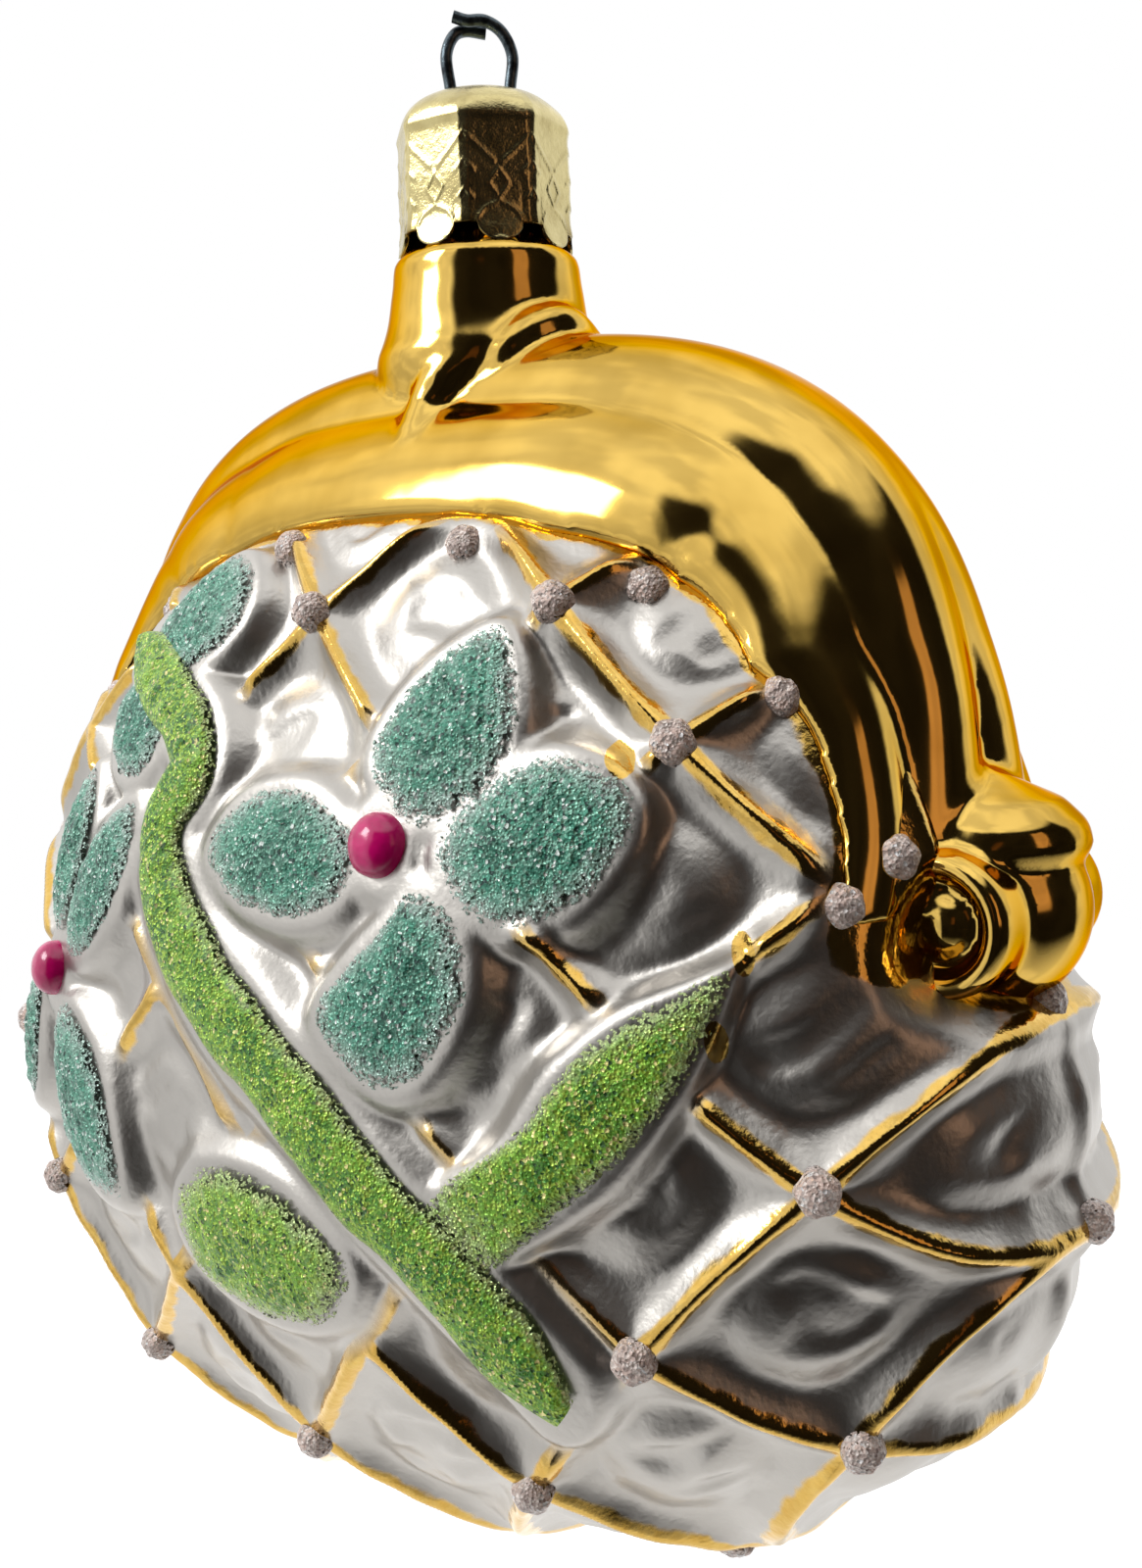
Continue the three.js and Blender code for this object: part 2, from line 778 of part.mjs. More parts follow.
function addPiece(name, geometry, material) {
  const mesh = new THREE.Mesh(geometry, material);
  mesh.name = name;
  part.add(mesh);
  return mesh;
}

addPiece("glass_shell", geometryOf(glassShell()), silver);
addPiece("cap", cap(), gold);
addPiece("hanger_wire", hanger(), steel).rotation.z = THREE.MathUtils.degToRad(hangerTurn);

for (const { name, bead, petals } of flowers) {
  addPiece(`${name}_bead`, dome(bead, beadRadius, beadRadius, padSeat, 16), magenta);
  petals.forEach(({ from, to, breadth }, i) => {
    addPiece(`${name}_petal_${i + 1}`, leafPad(from, to, breadth, 0.85, petalRise, 16), teal);
  });
}
for (const { name, from, to, breadth } of budPetals) {
  addPiece(name, leafPad(from, to, breadth, 0.85, petalRise, 16), teal);
}
addPiece("vine", vinePad(), green);
for (const { name, from, to, breadth, point } of leaves) {
  addPiece(name, leafPad(from, to, breadth, point, leafRise, 20), green);
}

let leftDots = 0;
let rightDots = 0;
for (const [column, rows] of dotRows) {
  for (const row of rows) {
    const name = column < 0 ? `dot_left_${(leftDots += 1)}` : `dot_right_${(rightDots += 1)}`;
    const spot = at(column, row);
    const seat = skinLift(spot, column, row);
    addPiece(name, dome(spot, dotRadius, dotHeight, seat, 8), frost);
  }
}

export default part;
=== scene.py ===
import math
import bpy
import numpy as np
from mathutils import Matrix, Vector


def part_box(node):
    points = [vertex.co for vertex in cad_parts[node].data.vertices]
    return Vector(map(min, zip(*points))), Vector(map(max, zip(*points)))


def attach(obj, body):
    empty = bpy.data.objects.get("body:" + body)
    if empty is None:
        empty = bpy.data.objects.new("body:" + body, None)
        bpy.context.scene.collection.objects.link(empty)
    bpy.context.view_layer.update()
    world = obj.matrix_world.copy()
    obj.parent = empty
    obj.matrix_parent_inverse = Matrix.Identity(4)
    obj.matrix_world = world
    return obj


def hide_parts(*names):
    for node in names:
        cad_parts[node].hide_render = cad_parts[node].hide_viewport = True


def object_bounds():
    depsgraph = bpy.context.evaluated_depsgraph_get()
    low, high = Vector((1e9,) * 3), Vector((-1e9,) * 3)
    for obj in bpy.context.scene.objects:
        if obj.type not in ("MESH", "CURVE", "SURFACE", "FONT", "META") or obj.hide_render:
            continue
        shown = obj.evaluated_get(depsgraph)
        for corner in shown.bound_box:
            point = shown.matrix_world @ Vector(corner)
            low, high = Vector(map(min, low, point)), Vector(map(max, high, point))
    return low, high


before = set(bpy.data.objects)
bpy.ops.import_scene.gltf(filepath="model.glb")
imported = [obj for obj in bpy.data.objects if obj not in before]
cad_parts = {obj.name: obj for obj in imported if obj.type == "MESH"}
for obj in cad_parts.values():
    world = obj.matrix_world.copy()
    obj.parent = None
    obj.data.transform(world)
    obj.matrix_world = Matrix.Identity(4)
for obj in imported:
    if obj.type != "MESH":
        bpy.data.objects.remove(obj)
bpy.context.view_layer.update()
mm = 0.001

# heights in mm from the place in the wire loop where a hook sits
crestZ = -18.65    # top of the clasp frame
widestZ = crestZ - 46.4
bossZ = crestZ - 32.4


def smoothStep(low, high, value):
    t = np.clip((value - low) / (high - low), 0, 1)
    return t * t * (3 - 2 * t)


def power(value, exponent):
    return np.sign(value) * np.abs(value) ** exponent


def waves(points, scale, seed):
    # soft noise from a few crossing waves, about -1 to 1
    pick = np.random.default_rng(seed)
    total = np.zeros(len(points))
    for i in range(7):
        way = pick.normal(size=3)
        way /= np.linalg.norm(way)
        pitch = scale * pick.uniform(0.6, 1.6)
        total += np.sin(points @ way / pitch * 2 * math.pi + pick.uniform(0, 6.28))
    return total / 3.5


def makeMesh(name, points, faces, material, smooth=True):
    mesh = bpy.data.meshes.new(name)
    mesh.from_pydata((np.asarray(points) * mm).tolist(), [], faces)
    mesh.polygons.foreach_set("use_smooth", [smooth] * len(mesh.polygons))
    mesh.materials.append(material)
    mesh.update()
    obj = bpy.data.objects.new(name, mesh)
    bpy.context.scene.collection.objects.link(obj)
    return obj


def setPointValues(obj, name, values):
    layer = obj.data.attributes.new(name, "FLOAT", "POINT")
    layer.data.foreach_set("value", np.asarray(values, dtype=np.float32))


def ringFaces(rings, around, capStart=False, capEnd=False):
    faces = []
    for r in range(rings - 1):
        for i in range(around):
            j = (i + 1) % around
            faces.append((r * around + i, r * around + j, (r + 1) * around + j, (r + 1) * around + i))
    if capStart:
        faces.append(tuple(range(around))[::-1])
    if capEnd:
        faces.append(tuple(range((rings - 1) * around, rings * around)))
    return faces


# nodes of a material
def srgb(text):
    parts = [int(text[i:i + 2], 16) / 255 for i in (1, 3, 5)]
    linear = [p / 12.92 if p <= 0.04045 else ((p + 0.055) / 1.055) ** 2.4 for p in parts]
    return (*linear, 1)


def newMaterial(name):
    material = bpy.data.materials.new(name)
    material.use_nodes = True
    return material, material.node_tree, material.node_tree.nodes["Principled BSDF"]


def put(tree, kind, **values):
    node = tree.nodes.new(kind)
    for key, value in values.items():
        setattr(node, key, value)
    return node


def feed(tree, node, **inputs):
    for key, value in inputs.items():
        socket = node.inputs[key.replace("_", " ")]
        if isinstance(value, bpy.types.NodeSocket):
            tree.links.new(value, socket)
        else:
            socket.default_value = value
    return node


def maths(tree, operation, *values):
    node = put(tree, "ShaderNodeMath", operation=operation)
    for i, value in enumerate(values):
        if isinstance(value, bpy.types.NodeSocket):
            tree.links.new(value, node.inputs[i])
        else:
            node.inputs[i].default_value = value
    return node.outputs[0]


def plus(tree, first, second):
    return maths(tree, "ADD", first, second)


def minus(tree, first, second):
    return maths(tree, "SUBTRACT", first, second)


def times(tree, first, second):
    return maths(tree, "MULTIPLY", first, second)


def scaled(tree, value, factor, offset):
    return maths(tree, "MULTIPLY_ADD", value, factor, offset)


def vectorMaths(tree, operation, *values):
    node = put(tree, "ShaderNodeVectorMath", operation=operation)
    for i, value in enumerate(values):
        if isinstance(value, bpy.types.NodeSocket):
            tree.links.new(value, node.inputs[i])
        elif operation == "SCALE" and i == 1:
            node.inputs["Scale"].default_value = value
        else:
            node.inputs[i].default_value = value
    return node.outputs[0]


def blendColour(tree, share, first, second):
    node = put(tree, "ShaderNodeMix", data_type="RGBA")
    for socket, value in ((node.inputs[0], share), (node.inputs[6], first), (node.inputs[7], second)):
        if isinstance(value, bpy.types.NodeSocket):
            tree.links.new(value, socket)
        else:
            socket.default_value = value
    return node.outputs[2]


def noise(tree, scale, detail):
    coords = put(tree, "ShaderNodeTexCoord").outputs["Object"]
    node = put(tree, "ShaderNodeTexNoise")
    return feed(tree, node, Vector=coords, Scale=scale, Detail=detail).outputs["Fac"]


def swing(tree, scale, detail, amount):
    # noise that swings both ways round nothing
    return times(tree, minus(tree, noise(tree, scale, detail), 0.5), amount)


def flakes(tree, scale):
    coords = put(tree, "ShaderNodeTexCoord").outputs["Object"]
    return feed(tree, put(tree, "ShaderNodeTexVoronoi", feature="F1"), Vector=coords, Scale=scale)


def ramp(tree, value, low, high):
    node = put(tree, "ShaderNodeMapRange", interpolation_type="SMOOTHSTEP")
    feed(tree, node, Value=value)
    node.inputs[1].default_value = low
    node.inputs[2].default_value = high
    return node.outputs[0]


def bump(tree, height, distance):
    node = put(tree, "ShaderNodeBump")
    return feed(tree, node, Height=height, Distance=distance, Strength=1).outputs["Normal"]


# camera, at the viewing angle of the photo: mm, degrees, and the focal length in pixels
cameraSpot = {"azimuth": 40.718, "distance": 102.518, "height": -36.63, "focal": 1613.455,
              "pitch": 5.6315, "yaw": -2.4667, "roll": -1.6330}
photoHeight = 1600


def makeCamera(spot):
    around = math.radians(spot["azimuth"])
    heading = around + math.radians(spot["yaw"])
    pitch = math.radians(spot["pitch"])
    roll = math.radians(spot["roll"])
    away = spot["distance"]
    place = Vector((away * math.sin(around), -away * math.cos(around), spot["height"])) * mm
    level = Vector((-math.sin(heading), math.cos(heading), 0))
    forward = level * math.cos(pitch) - Vector((0, 0, math.sin(pitch)))
    right = Vector((math.cos(heading), math.sin(heading), 0))
    up = right.cross(forward)
    right, up = right * math.cos(roll) + up * math.sin(roll), up * math.cos(roll) - right * math.sin(roll)
    data = bpy.data.cameras.new("camera")
    data.sensor_fit = "AUTO"
    data.sensor_width = 36
    data.lens = spot["focal"] / photoHeight * 36
    data.clip_start = 0.001
    camera = bpy.data.objects.new("camera", data)
    camera.matrix_world = Matrix((right, up, -forward)).transposed().to_4x4()
    camera.matrix_world.translation = place
    bpy.context.scene.collection.objects.link(camera)
    bpy.context.scene.camera = camera


makeCamera(cameraSpot)
print("camera made")

# smooth bag under the quilting, in mm
bag = {"halfWidth": 38, "halfDepth": 22, "upper": 41, "lower": 26.5, "squareness": 2.25,
       "widthFullness": 2.1, "depthFullness": 1.9, "floorFullness": 2.2, "skinShare": 1.45}
upperArc = bag["upper"] * bag["skinShare"]
lowerArc = bag["lower"] * bag["skinShare"]


def bagBase(turn, down):
    upper = down < 0
    angle = np.clip(down / np.where(upper, upperArc, lowerArc), -1, 1) * math.pi / 2
    sine = np.abs(np.sin(angle))
    fullWide = np.where(upper, bag["widthFullness"], bag["floorFullness"])
    fullDeep = np.where(upper, bag["depthFullness"], bag["floorFullness"])
    wide = bag["halfWidth"] * np.maximum(1 - sine ** fullWide, 0) ** (1 / fullWide)
    deep = bag["halfDepth"] * np.maximum(1 - sine ** fullDeep, 0) ** (1 / fullDeep)
    curl = 2 / bag["squareness"]
    return np.stack([wide * power(np.sin(turn), curl), -deep * power(np.cos(turn), curl),
                     widestZ + np.where(upper, bag["upper"], -bag["lower"]) * sine], axis=-1)


def bagNormal(turn, down):
    step = 0.01
    down = np.clip(down, -upperArc + 0.4, lowerArc - 0.4)
    aside = bagBase(turn + step, down) - bagBase(turn - step, down)
    below = bagBase(turn, down + 10 * step) - bagBase(turn, down - 10 * step)
    normal = -np.cross(aside, below)
    return normal / np.maximum(np.linalg.norm(normal, axis=-1, keepdims=True), 1e-9)


# clasp frame: its crest seen from the front, and how wide its band is on the way round
clasp = {"halfWidth": 33.3, "height": 32.4, "fullness": 2.8, "step": 0.6,
         "reach": [0, 0.23, 0.41, 0.6, 0.8, 0.874, 0.928, 0.958, 0.98, 1],
         "band": [11.1, 11.5, 10.6, 9.5, 7.1, 4.7, 3.5, 2.8, 2.4, 2.3],
         "halfDepth": 10.8, "endDepth": 5.4, "tuck": 1.5, "bulge": 0.9, "crease": 0.6}


def crestAt(share):
    angle = (share - 0.5) * math.pi
    return np.stack([clasp["halfWidth"] * power(np.sin(angle), 2 / clasp["fullness"]), 0 * share,
                     bossZ + clasp["height"] * np.abs(np.cos(angle)) ** (2 / clasp["fullness"])], axis=-1)


def bandAt(share):
    return np.interp(np.abs(share - 0.5) * 2, clasp["reach"], clasp["band"])


def fromFrameEdge(points):
    # mm outside the frame's lower edge, in the plane of the frame
    last = 160
    shares = np.linspace(0, 1, last + 1)
    crest = crestAt(shares)[:, [0, 2]]
    flatPoints = points[:, [0, 2]]
    nearest = np.full(len(points), 1e9)
    number = np.zeros(len(points), dtype=int)
    for i, spot in enumerate(crest):
        gap = np.hypot(*(flatPoints - spot).T)
        closer = gap < nearest
        nearest[closer] = gap[closer]
        number[closer] = i
    before, after = np.maximum(number - 1, 0), np.minimum(number + 1, last)
    along = crest[after] - crest[before]
    slide = ((flatPoints - crest[number]) * along).sum(axis=1) / (along ** 2).sum(axis=1)
    slide = np.clip(slide, -0.5, 0.5)
    slide = np.where(number == 0, np.maximum(slide, 0), slide)
    slide = np.where(number == last, np.minimum(slide, 0), slide)
    share = shares[number] + slide * (shares[after] - shares[before])
    return np.hypot(*(flatPoints - crest[number] - along * slide[:, None]).T) - bandAt(share)


# what is moulded and painted on the skin: degrees round from the front, mm down from the widest level
# a petal is base, tip, left side and right side
turnPerMm = 1 / (bag["halfWidth"] * 1.16)
downPerMm = bag["skinShare"] * 2 / math.pi
petals = {
    "flower_petal_1": ((15.3, -18.6), (24.2, -27.5), (13.1, -22.9), (24.2, -21.1)),
    "flower_petal_2": ((19.8, -16.3), (36.5, -18.4), (28.2, -20.4), (27.5, -13.7)),
    "flower_petal_3": ((15.6, -13.8), (13.7, -5.6), (20.4, -10.1), (8.5, -8.3)),
    "flower_petal_4": ((9.4, -15.8), (-3.3, -15.4), (3.9, -12.8), (2.3, -18.6)),
    "side_flower_petal_1": ((-29.4, -9.9), (-29.7, -18.5), (-32.9, -13.8), (-26.2, -14.5)),
    "side_flower_petal_2": ((-25.5, -8.9), (-17.4, -16.7), (-24.2, -14.3), (-18.3, -11.3)),
    "side_flower_petal_3": ((-34.6, -5.3), (-39.8, 0.9), (-36.1, -0.4), (-39.5, -4.1)),
    "side_flower_petal_4": ((-27.2, -4.2), (-17.1, 3.6), (-19.4, -2.5), (-25.1, 2.1)),
    "bud_petal_upper": ((-18.5, -26.1), (-19.9, -34.0), (-26.9, -29.0), (-11.3, -30.3)),
    "bud_petal_lower": ((-22.1, -26.1), (-18.5, -19.5), (-16.2, -23.0), (-27.3, -22.7)),
}
leaves = {
    "leaf_right": [(16.2, 1), (19.8, -1.4), (25.2, -3.6), (29.6, -6.6), (34, -8.7), (39.3, -10.1),
                   (45, -11.2), (43.4, -9), (40.6, -6.5), (36.6, -3.9), (31.8, -1.5), (27.1, 0.8),
                   (21.6, 3.2)],
    "leaf_left": [(-3.7, 0.7), (-6.7, 3.1), (-6.3, 5.6), (-3, 7.5), (2.4, 8.1), (7.4, 7.2), (9.9, 5.2),
                  (9.6, 3.5), (6.1, 1.8), (0.8, 0.5)],
}
beads = {"flower_bead": (12.6, -16.4), "side_flower_bead": (-30.0, -7.1)}
vineRoute = [(-30, -28), (-19, -24.9), (-11.6, -22.4), (-8.8, -19.8), (-10.8, -16.9), (-9.5, -13.7),
             (-5.5, -10.3), (-0.1, -6.8), (5.3, -3.8), (11.3, -0.4), (17, 2.1), (22.9, 5.2), (29.8, 9)]
vineHalfWidth = 2.35
coatSpread = 1.2    # glitter spreads a little past the moulded petal


def flat(spots):
    # degrees and mm down, to mm across and mm along the skin
    spots = np.asarray(spots, float)
    return np.stack([np.radians(spots[..., 0]) / turnPerMm, spots[..., 1] / downPerMm], axis=-1)


def unflat(spots):
    return spots[..., 0] * turnPerMm, spots[..., 1] * downPerMm


def catmull(points, count):
    # smooth curve through all points
    points = np.asarray(points, float)
    padded = np.vstack([2 * points[0] - points[1], points, 2 * points[-1] - points[-2]])
    t = np.linspace(0, len(points) - 1 - 1e-6, count)
    i = t.astype(int)
    f = (t - i)[:, None]
    a, b, c, d = padded[i], padded[i + 1], padded[i + 2], padded[i + 3]
    square, cube = 2 * a - 5 * b + 4 * c - d, 3 * b - a - 3 * c + d
    return 0.5 * (2 * b + (c - a) * f + square * f ** 2 + cube * f ** 3)


def petalOutline(spots, count):
    # closed outline through base, one side, tip and other side
    base, tip, left, right = flat(spots)
    axis = tip - base
    length = np.linalg.norm(axis)
    axis = axis / length
    normal = np.array([-axis[1], axis[0]])
    sides = []
    for spot in (left, right):
        along = np.clip(np.dot(spot - base, axis) / length, 0.25, 0.75)
        sides.append((along, np.dot(spot - base, normal)))
    outline = []
    for i in range(count):
        angle = i / count * 2 * math.pi
        along, width = sides[0] if i < count / 2 else sides[1]
        t = (1 - math.cos(angle)) / 2
        bend = math.log(0.5) / math.log(along)
        profile = max(math.sin(math.pi * t ** bend), 0) ** 0.55
        outline.append(base + axis * length * t + normal * width * profile)
    outline = np.array(outline)
    middle = (base + tip) / 2
    return middle + (outline - middle) * coatSpread


def leafOutline(spots, count):
    spots = flat(spots)
    loop = catmull(np.vstack([spots, spots[:1]]), count + 1)
    return loop[:-1]


class Outline:
    # an outline on the skin seen from its middle
    def __init__(self, points):
        self.points = points
        self.middle = (points.max(axis=0) + points.min(axis=0)) / 2
        rays = points - self.middle
        angles = np.arctan2(rays[:, 1], rays[:, 0])
        order = np.argsort(angles)
        self.angles = angles[order]
        self.radii = np.linalg.norm(rays, axis=1)[order]

    def radius(self, angle):
        return np.interp(angle, self.angles, self.radii, period=2 * math.pi)

    def outside(self, spots):
        # mm outside the outline
        rays = spots - self.middle
        reach = np.linalg.norm(rays, axis=-1)
        return reach - self.radius(np.arctan2(rays[..., 1], rays[..., 0]))


outlinePoints = 180
outlines = {name: Outline(petalOutline(spots, outlinePoints)) for name, spots in petals.items()}
outlines.update({name: Outline(leafOutline(spots, outlinePoints)) for name, spots in leaves.items()})
vineLine = catmull(flat(vineRoute), 260)


def fromVine(spots):
    nearest = np.full(len(spots), 1e9)
    for point in vineLine[::3]:
        nearest = np.minimum(nearest, np.hypot(spots[:, 0] - point[0], spots[:, 1] - point[1]))
    return nearest - vineHalfWidth


# quilting: a flat lattice pressed in from the front and the back
quilt = {"pitch": 7.7, "rowPitch": 6.85, "zeroDrop": 5, "sag": 6.5, "sagHalf": 30, "ridge": 0.6,
         "ridgeWidth": 0.7, "dish": 1.15, "pillow": 0.6, "dent": 0.36, "plateau": 1.15, "rim": 1.2,
         "sunk": 0.3, "calmFrom": 1.2, "calmTo": 3, "seamRidge": 0.35, "beadRoom": 2.2}
# the bag gives way to the end balls, and is narrower behind the frame's ends
byBoss = {"x": 37.6, "below": 0.9, "hollow": 3.2, "calm": 0.75}
behindFrame = {"from": 31, "to": 34.5, "depth": 2.6, "half": 4}


def lattice(points):
    x = points[:, 0]
    column = x / quilt["pitch"] * (1 + 0.02 * smoothStep(29, 37, np.abs(x)))
    row = 0 * x
    for _ in range(8):
        sag = quilt["sag"] * smoothStep(-2.5, 2, row) * (1 - (x / quilt["sagHalf"]) ** 2)
        row = -(points[:, 2] - widestZ + quilt["zeroDrop"] + sag) / quilt["rowPitch"]
    return (column + row + 1) / 2, (column - row + 1) / 2


keptRidge = (27.8, -10.3)    # a short ridge that shows between two petals
# drops of gold lacquer by the flower and the leaf
giltSpots = [((36.8, -21.2), 1.2), ((43.4, -8.2), 0.9), ((46.6, -12), 1)]


def skinField(turn, down):
    # lift of the skin, how much ridge is left, and how much gold paint
    turn = (turn + math.pi) % (2 * math.pi) - math.pi
    base = bagBase(turn, down)
    spots = np.stack([turn / turnPerMm, down / downPerMm], axis=-1)
    a, b = lattice(base)
    across = 2 / math.hypot(1 / quilt["pitch"], 1 / quilt["rowPitch"])
    toRidge = np.minimum(np.abs(a - np.round(a)), np.abs(b - np.round(b))) * across
    front = np.abs(turn) < math.pi / 2
    toSeam = np.abs(base[:, 1])
    toRidge = np.where(toSeam < toRidge, np.maximum(toSeam, quilt["seamRidge"]), toRidge)
    nearest = np.full(len(turn), 1e9)
    for outline in outlines.values():
        nearest = np.minimum(nearest, outline.outside(spots))
    nearest = np.minimum(nearest, fromVine(spots))
    for spot in beads.values():
        middle = flat(spot)
        away = np.hypot(spots[:, 0] - middle[0], spots[:, 1] - middle[1])
        nearest = np.minimum(nearest, away - quilt["beadRoom"])
    nearest = np.where(front, nearest, 1e3)
    calm = 1 - smoothStep(quilt["calmFrom"], quilt["calmTo"], nearest)
    middle = flat(keptRidge)
    fromKept = np.hypot(spots[:, 0] - middle[0], spots[:, 1] - middle[1])
    calm = calm * np.where(front, smoothStep(2, 3.6, fromKept), 1)
    plateau = quilt["plateau"] * (1 - smoothStep(quilt["rim"] - 0.9, quilt["rim"] + 0.9, nearest))
    ridge = quilt["ridge"] * np.exp(-(toRidge / quilt["ridgeWidth"]) ** 1.6)
    inCell = np.abs(np.sin(math.pi * a) * np.sin(math.pi * b)) ** 0.75
    dome = quilt["dish"] * (1 - smoothStep(-0.12, 0.6, inCell))
    dome = dome + quilt["pillow"] * smoothStep(0.45, 1.05, inCell)
    dent = quilt["dent"] * (1 - smoothStep(0, 0.2, 1 - inCell + 0.15 * waves(base, 4.2, 21)))
    dent = dent * smoothStep(3, 7, toSeam)
    dome = dome - dent - quilt["sunk"] + 0.06 * waves(base, 3.6, 8)
    edge = fromFrameEdge(base)
    free = smoothStep(-0.2, 2, edge)
    ends = smoothStep(0, 7, lowerArc - down)
    relief = (ridge + dome) * (1 - calm) + calm * 0.3
    aside, level = np.abs(base[:, 0]), base[:, 2]
    toBoss = np.hypot(aside - byBoss["x"], level - bossZ + byBoss["below"])
    relief = relief * (1 - byBoss["calm"] * (1 - smoothStep(3, 10, toBoss)))
    lift = (relief * free + plateau) * ends - byBoss["hollow"] * (1 - smoothStep(1.5, 6, toBoss))
    behind = smoothStep(behindFrame["from"], behindFrame["to"], aside)
    behind = behind * smoothStep(bossZ - 0.5, bossZ + 2, level)
    behind = behind * (1 - smoothStep(behindFrame["half"], behindFrame["half"] + 3, toSeam))
    lift = lift - behindFrame["depth"] * behind
    paint = 1 - smoothStep(-0.3, 1.5, edge)
    paint = np.maximum(paint, smoothStep(31.5, 33, aside) * smoothStep(bossZ - 1, bossZ, level))
    for spot, size in giltSpots:
        middle = flat(spot)
        away = np.hypot(spots[:, 0] - middle[0], (spots[:, 1] - middle[1]) * 0.8)
        paint = np.maximum(paint, np.where(front, 1 - smoothStep(size * 0.5, size * 1.3, away), 0))
    return lift, (1 - calm) * free, paint


def skinPoint(turn, down, lift=0.0):
    field = skinField(turn, down)[0]
    return bagBase(turn, down) + bagNormal(turn, down) * (field + lift)[:, None]


# materials of the glass
def silverMaterial():
    look = {"silver": srgb("#c4c0ba"), "gold": srgb("#cf9f3c"), "pale": srgb("#e8c877"), "roughness": 0.34,
            "polish": 0.1}
    material, tree, shader = newMaterial("silvered_glass")
    uv = put(tree, "ShaderNodeUVMap", uv_map="lattice").outputs[0]
    parts = put(tree, "ShaderNodeSeparateXYZ")
    tree.links.new(uv, parts.inputs[0])
    toA = maths(tree, "PINGPONG", parts.outputs[0], 0.5)
    toB = maths(tree, "PINGPONG", parts.outputs[1], 0.5)
    wander = swing(tree, 500, 3, 0.07)
    near = plus(tree, maths(tree, "MINIMUM", toA, toB), wander)
    stripe = minus(tree, 1, ramp(tree, near, 0.038, 0.058))
    ridge = put(tree, "ShaderNodeAttribute", attribute_name="ridge").outputs["Fac"]
    paint = put(tree, "ShaderNodeAttribute", attribute_name="paint").outputs["Fac"]
    ragged = plus(tree, paint, swing(tree, 500, 3, 0.9))
    gilt = maths(tree, "MAXIMUM", times(tree, stripe, ridge), ramp(tree, ragged, 0.42, 0.6))
    gold = blendColour(tree, noise(tree, 1400, 3), look["gold"], look["pale"])
    colour = blendColour(tree, gilt, look["silver"], gold)
    satin = scaled(tree, noise(tree, 300, 4), 0.12, look["roughness"] - 0.05)
    cloud = scaled(tree, gilt, minus(tree, look["polish"], satin), satin)
    fine = plus(tree, noise(tree, 700, 2), times(tree, noise(tree, 3500, 2), 0.25))
    feed(tree, shader, Base_Color=colour, Metallic=1.0, Roughness=cloud, Normal=bump(tree, fine, 0.00006))
    return material


def goldMaterial():
    look = {"gold": srgb("#e0bb62"), "deep": srgb("#b3903f"), "edge": srgb("#be8430"), "rim": srgb("#efbf72"),
            "roughness": 0.055}
    material, tree, shader = newMaterial("gold_lacquer")
    thick = ramp(tree, noise(tree, 160, 3), 0.35, 0.75)
    colour = blendColour(tree, times(tree, thick, 0.6), look["gold"], look["deep"])
    # painted reflection: the gold is painted towards orange where the surface turns away from the camera
    slant = feed(tree, put(tree, "ShaderNodeLayerWeight"), Blend=0.5).outputs["Facing"]
    colour = blendColour(tree, times(tree, ramp(tree, slant, 0.45, 0.95), 0.85), colour, look["edge"])
    rough = scaled(tree, noise(tree, 420, 4), 0.08, look["roughness"])
    feed(tree, shader, Base_Color=colour, Metallic=1.0, Roughness=rough, Specular_Tint=look["rim"],
         Normal=bump(tree, noise(tree, 130, 2), 0.0001))
    return material


silver = silverMaterial()
gold = goldMaterial()


def smoothGrid(field, times):
    # rows run down, columns run round
    for _ in range(times):
        field = field / 2 + (np.roll(field, 1, axis=1) + np.roll(field, -1, axis=1)) / 4
        field[1:-1] = field[1:-1] / 2 + (field[2:] + field[:-2]) / 4
    return field


def makeBag():
    size = {"around": 760, "rows": 460}
    downs = np.linspace(-upperArc * 0.9, lowerArc * 0.9995, size["rows"])
    turns = np.arange(size["around"]) / size["around"] * 2 * math.pi - math.pi
    turn, down = (grid.ravel() for grid in np.meshgrid(turns, downs))
    lift, ridge, paint = skinField(turn, down)
    base = bagBase(turn, down)
    lift = smoothGrid((lift + 0.12 * waves(base, 9, 3)).reshape(size["rows"], size["around"]), 2).ravel()
    points = base + bagNormal(turn, down) * lift[:, None]
    faces = ringFaces(size["rows"], size["around"], True, True)
    obj = makeMesh("bag", points, [face[::-1] for face in faces], silver)
    setPointValues(obj, "ridge", ridge)
    setPointValues(obj, "paint", paint)
    a, b = lattice(base)
    layer = obj.data.uv_layers.new(name="lattice")
    loops = np.zeros(len(obj.data.loops), dtype=np.int32)
    obj.data.loops.foreach_get("vertex_index", loops)
    layer.data.foreach_set("uv", np.stack([a[loops], b[loops]], axis=-1).ravel().astype(np.float32))
    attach(obj, "glass")
    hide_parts("glass_shell")


makeBag()
print("bag made")


# clasp frame, neck, rolls and end balls, melted into one gold skin
def crestNormal(share):
    a = crestAt(np.array([max(share - 0.004, 0)]))[0]
    b = crestAt(np.array([min(share + 0.004, 1)]))[0]
    along = (b - a) / np.linalg.norm(b - a)
    return np.array([-along[2], 0, along[0]])


def bagDepth(x, z):
    # half depth of the bare bag at a place seen from the front
    share = np.clip(abs(z - widestZ) / (bag["upper"] if z > widestZ else bag["lower"]), 0, 1)
    wide = bag["halfWidth"] * (1 - share ** bag["widthFullness"]) ** (1 / bag["widthFullness"])
    deep = bag["halfDepth"] * (1 - share ** bag["depthFullness"]) ** (1 / bag["depthFullness"])
    if abs(x) >= wide:
        return 0
    return deep * (1 - (abs(x) / wide) ** bag["squareness"]) ** (1 / bag["squareness"])


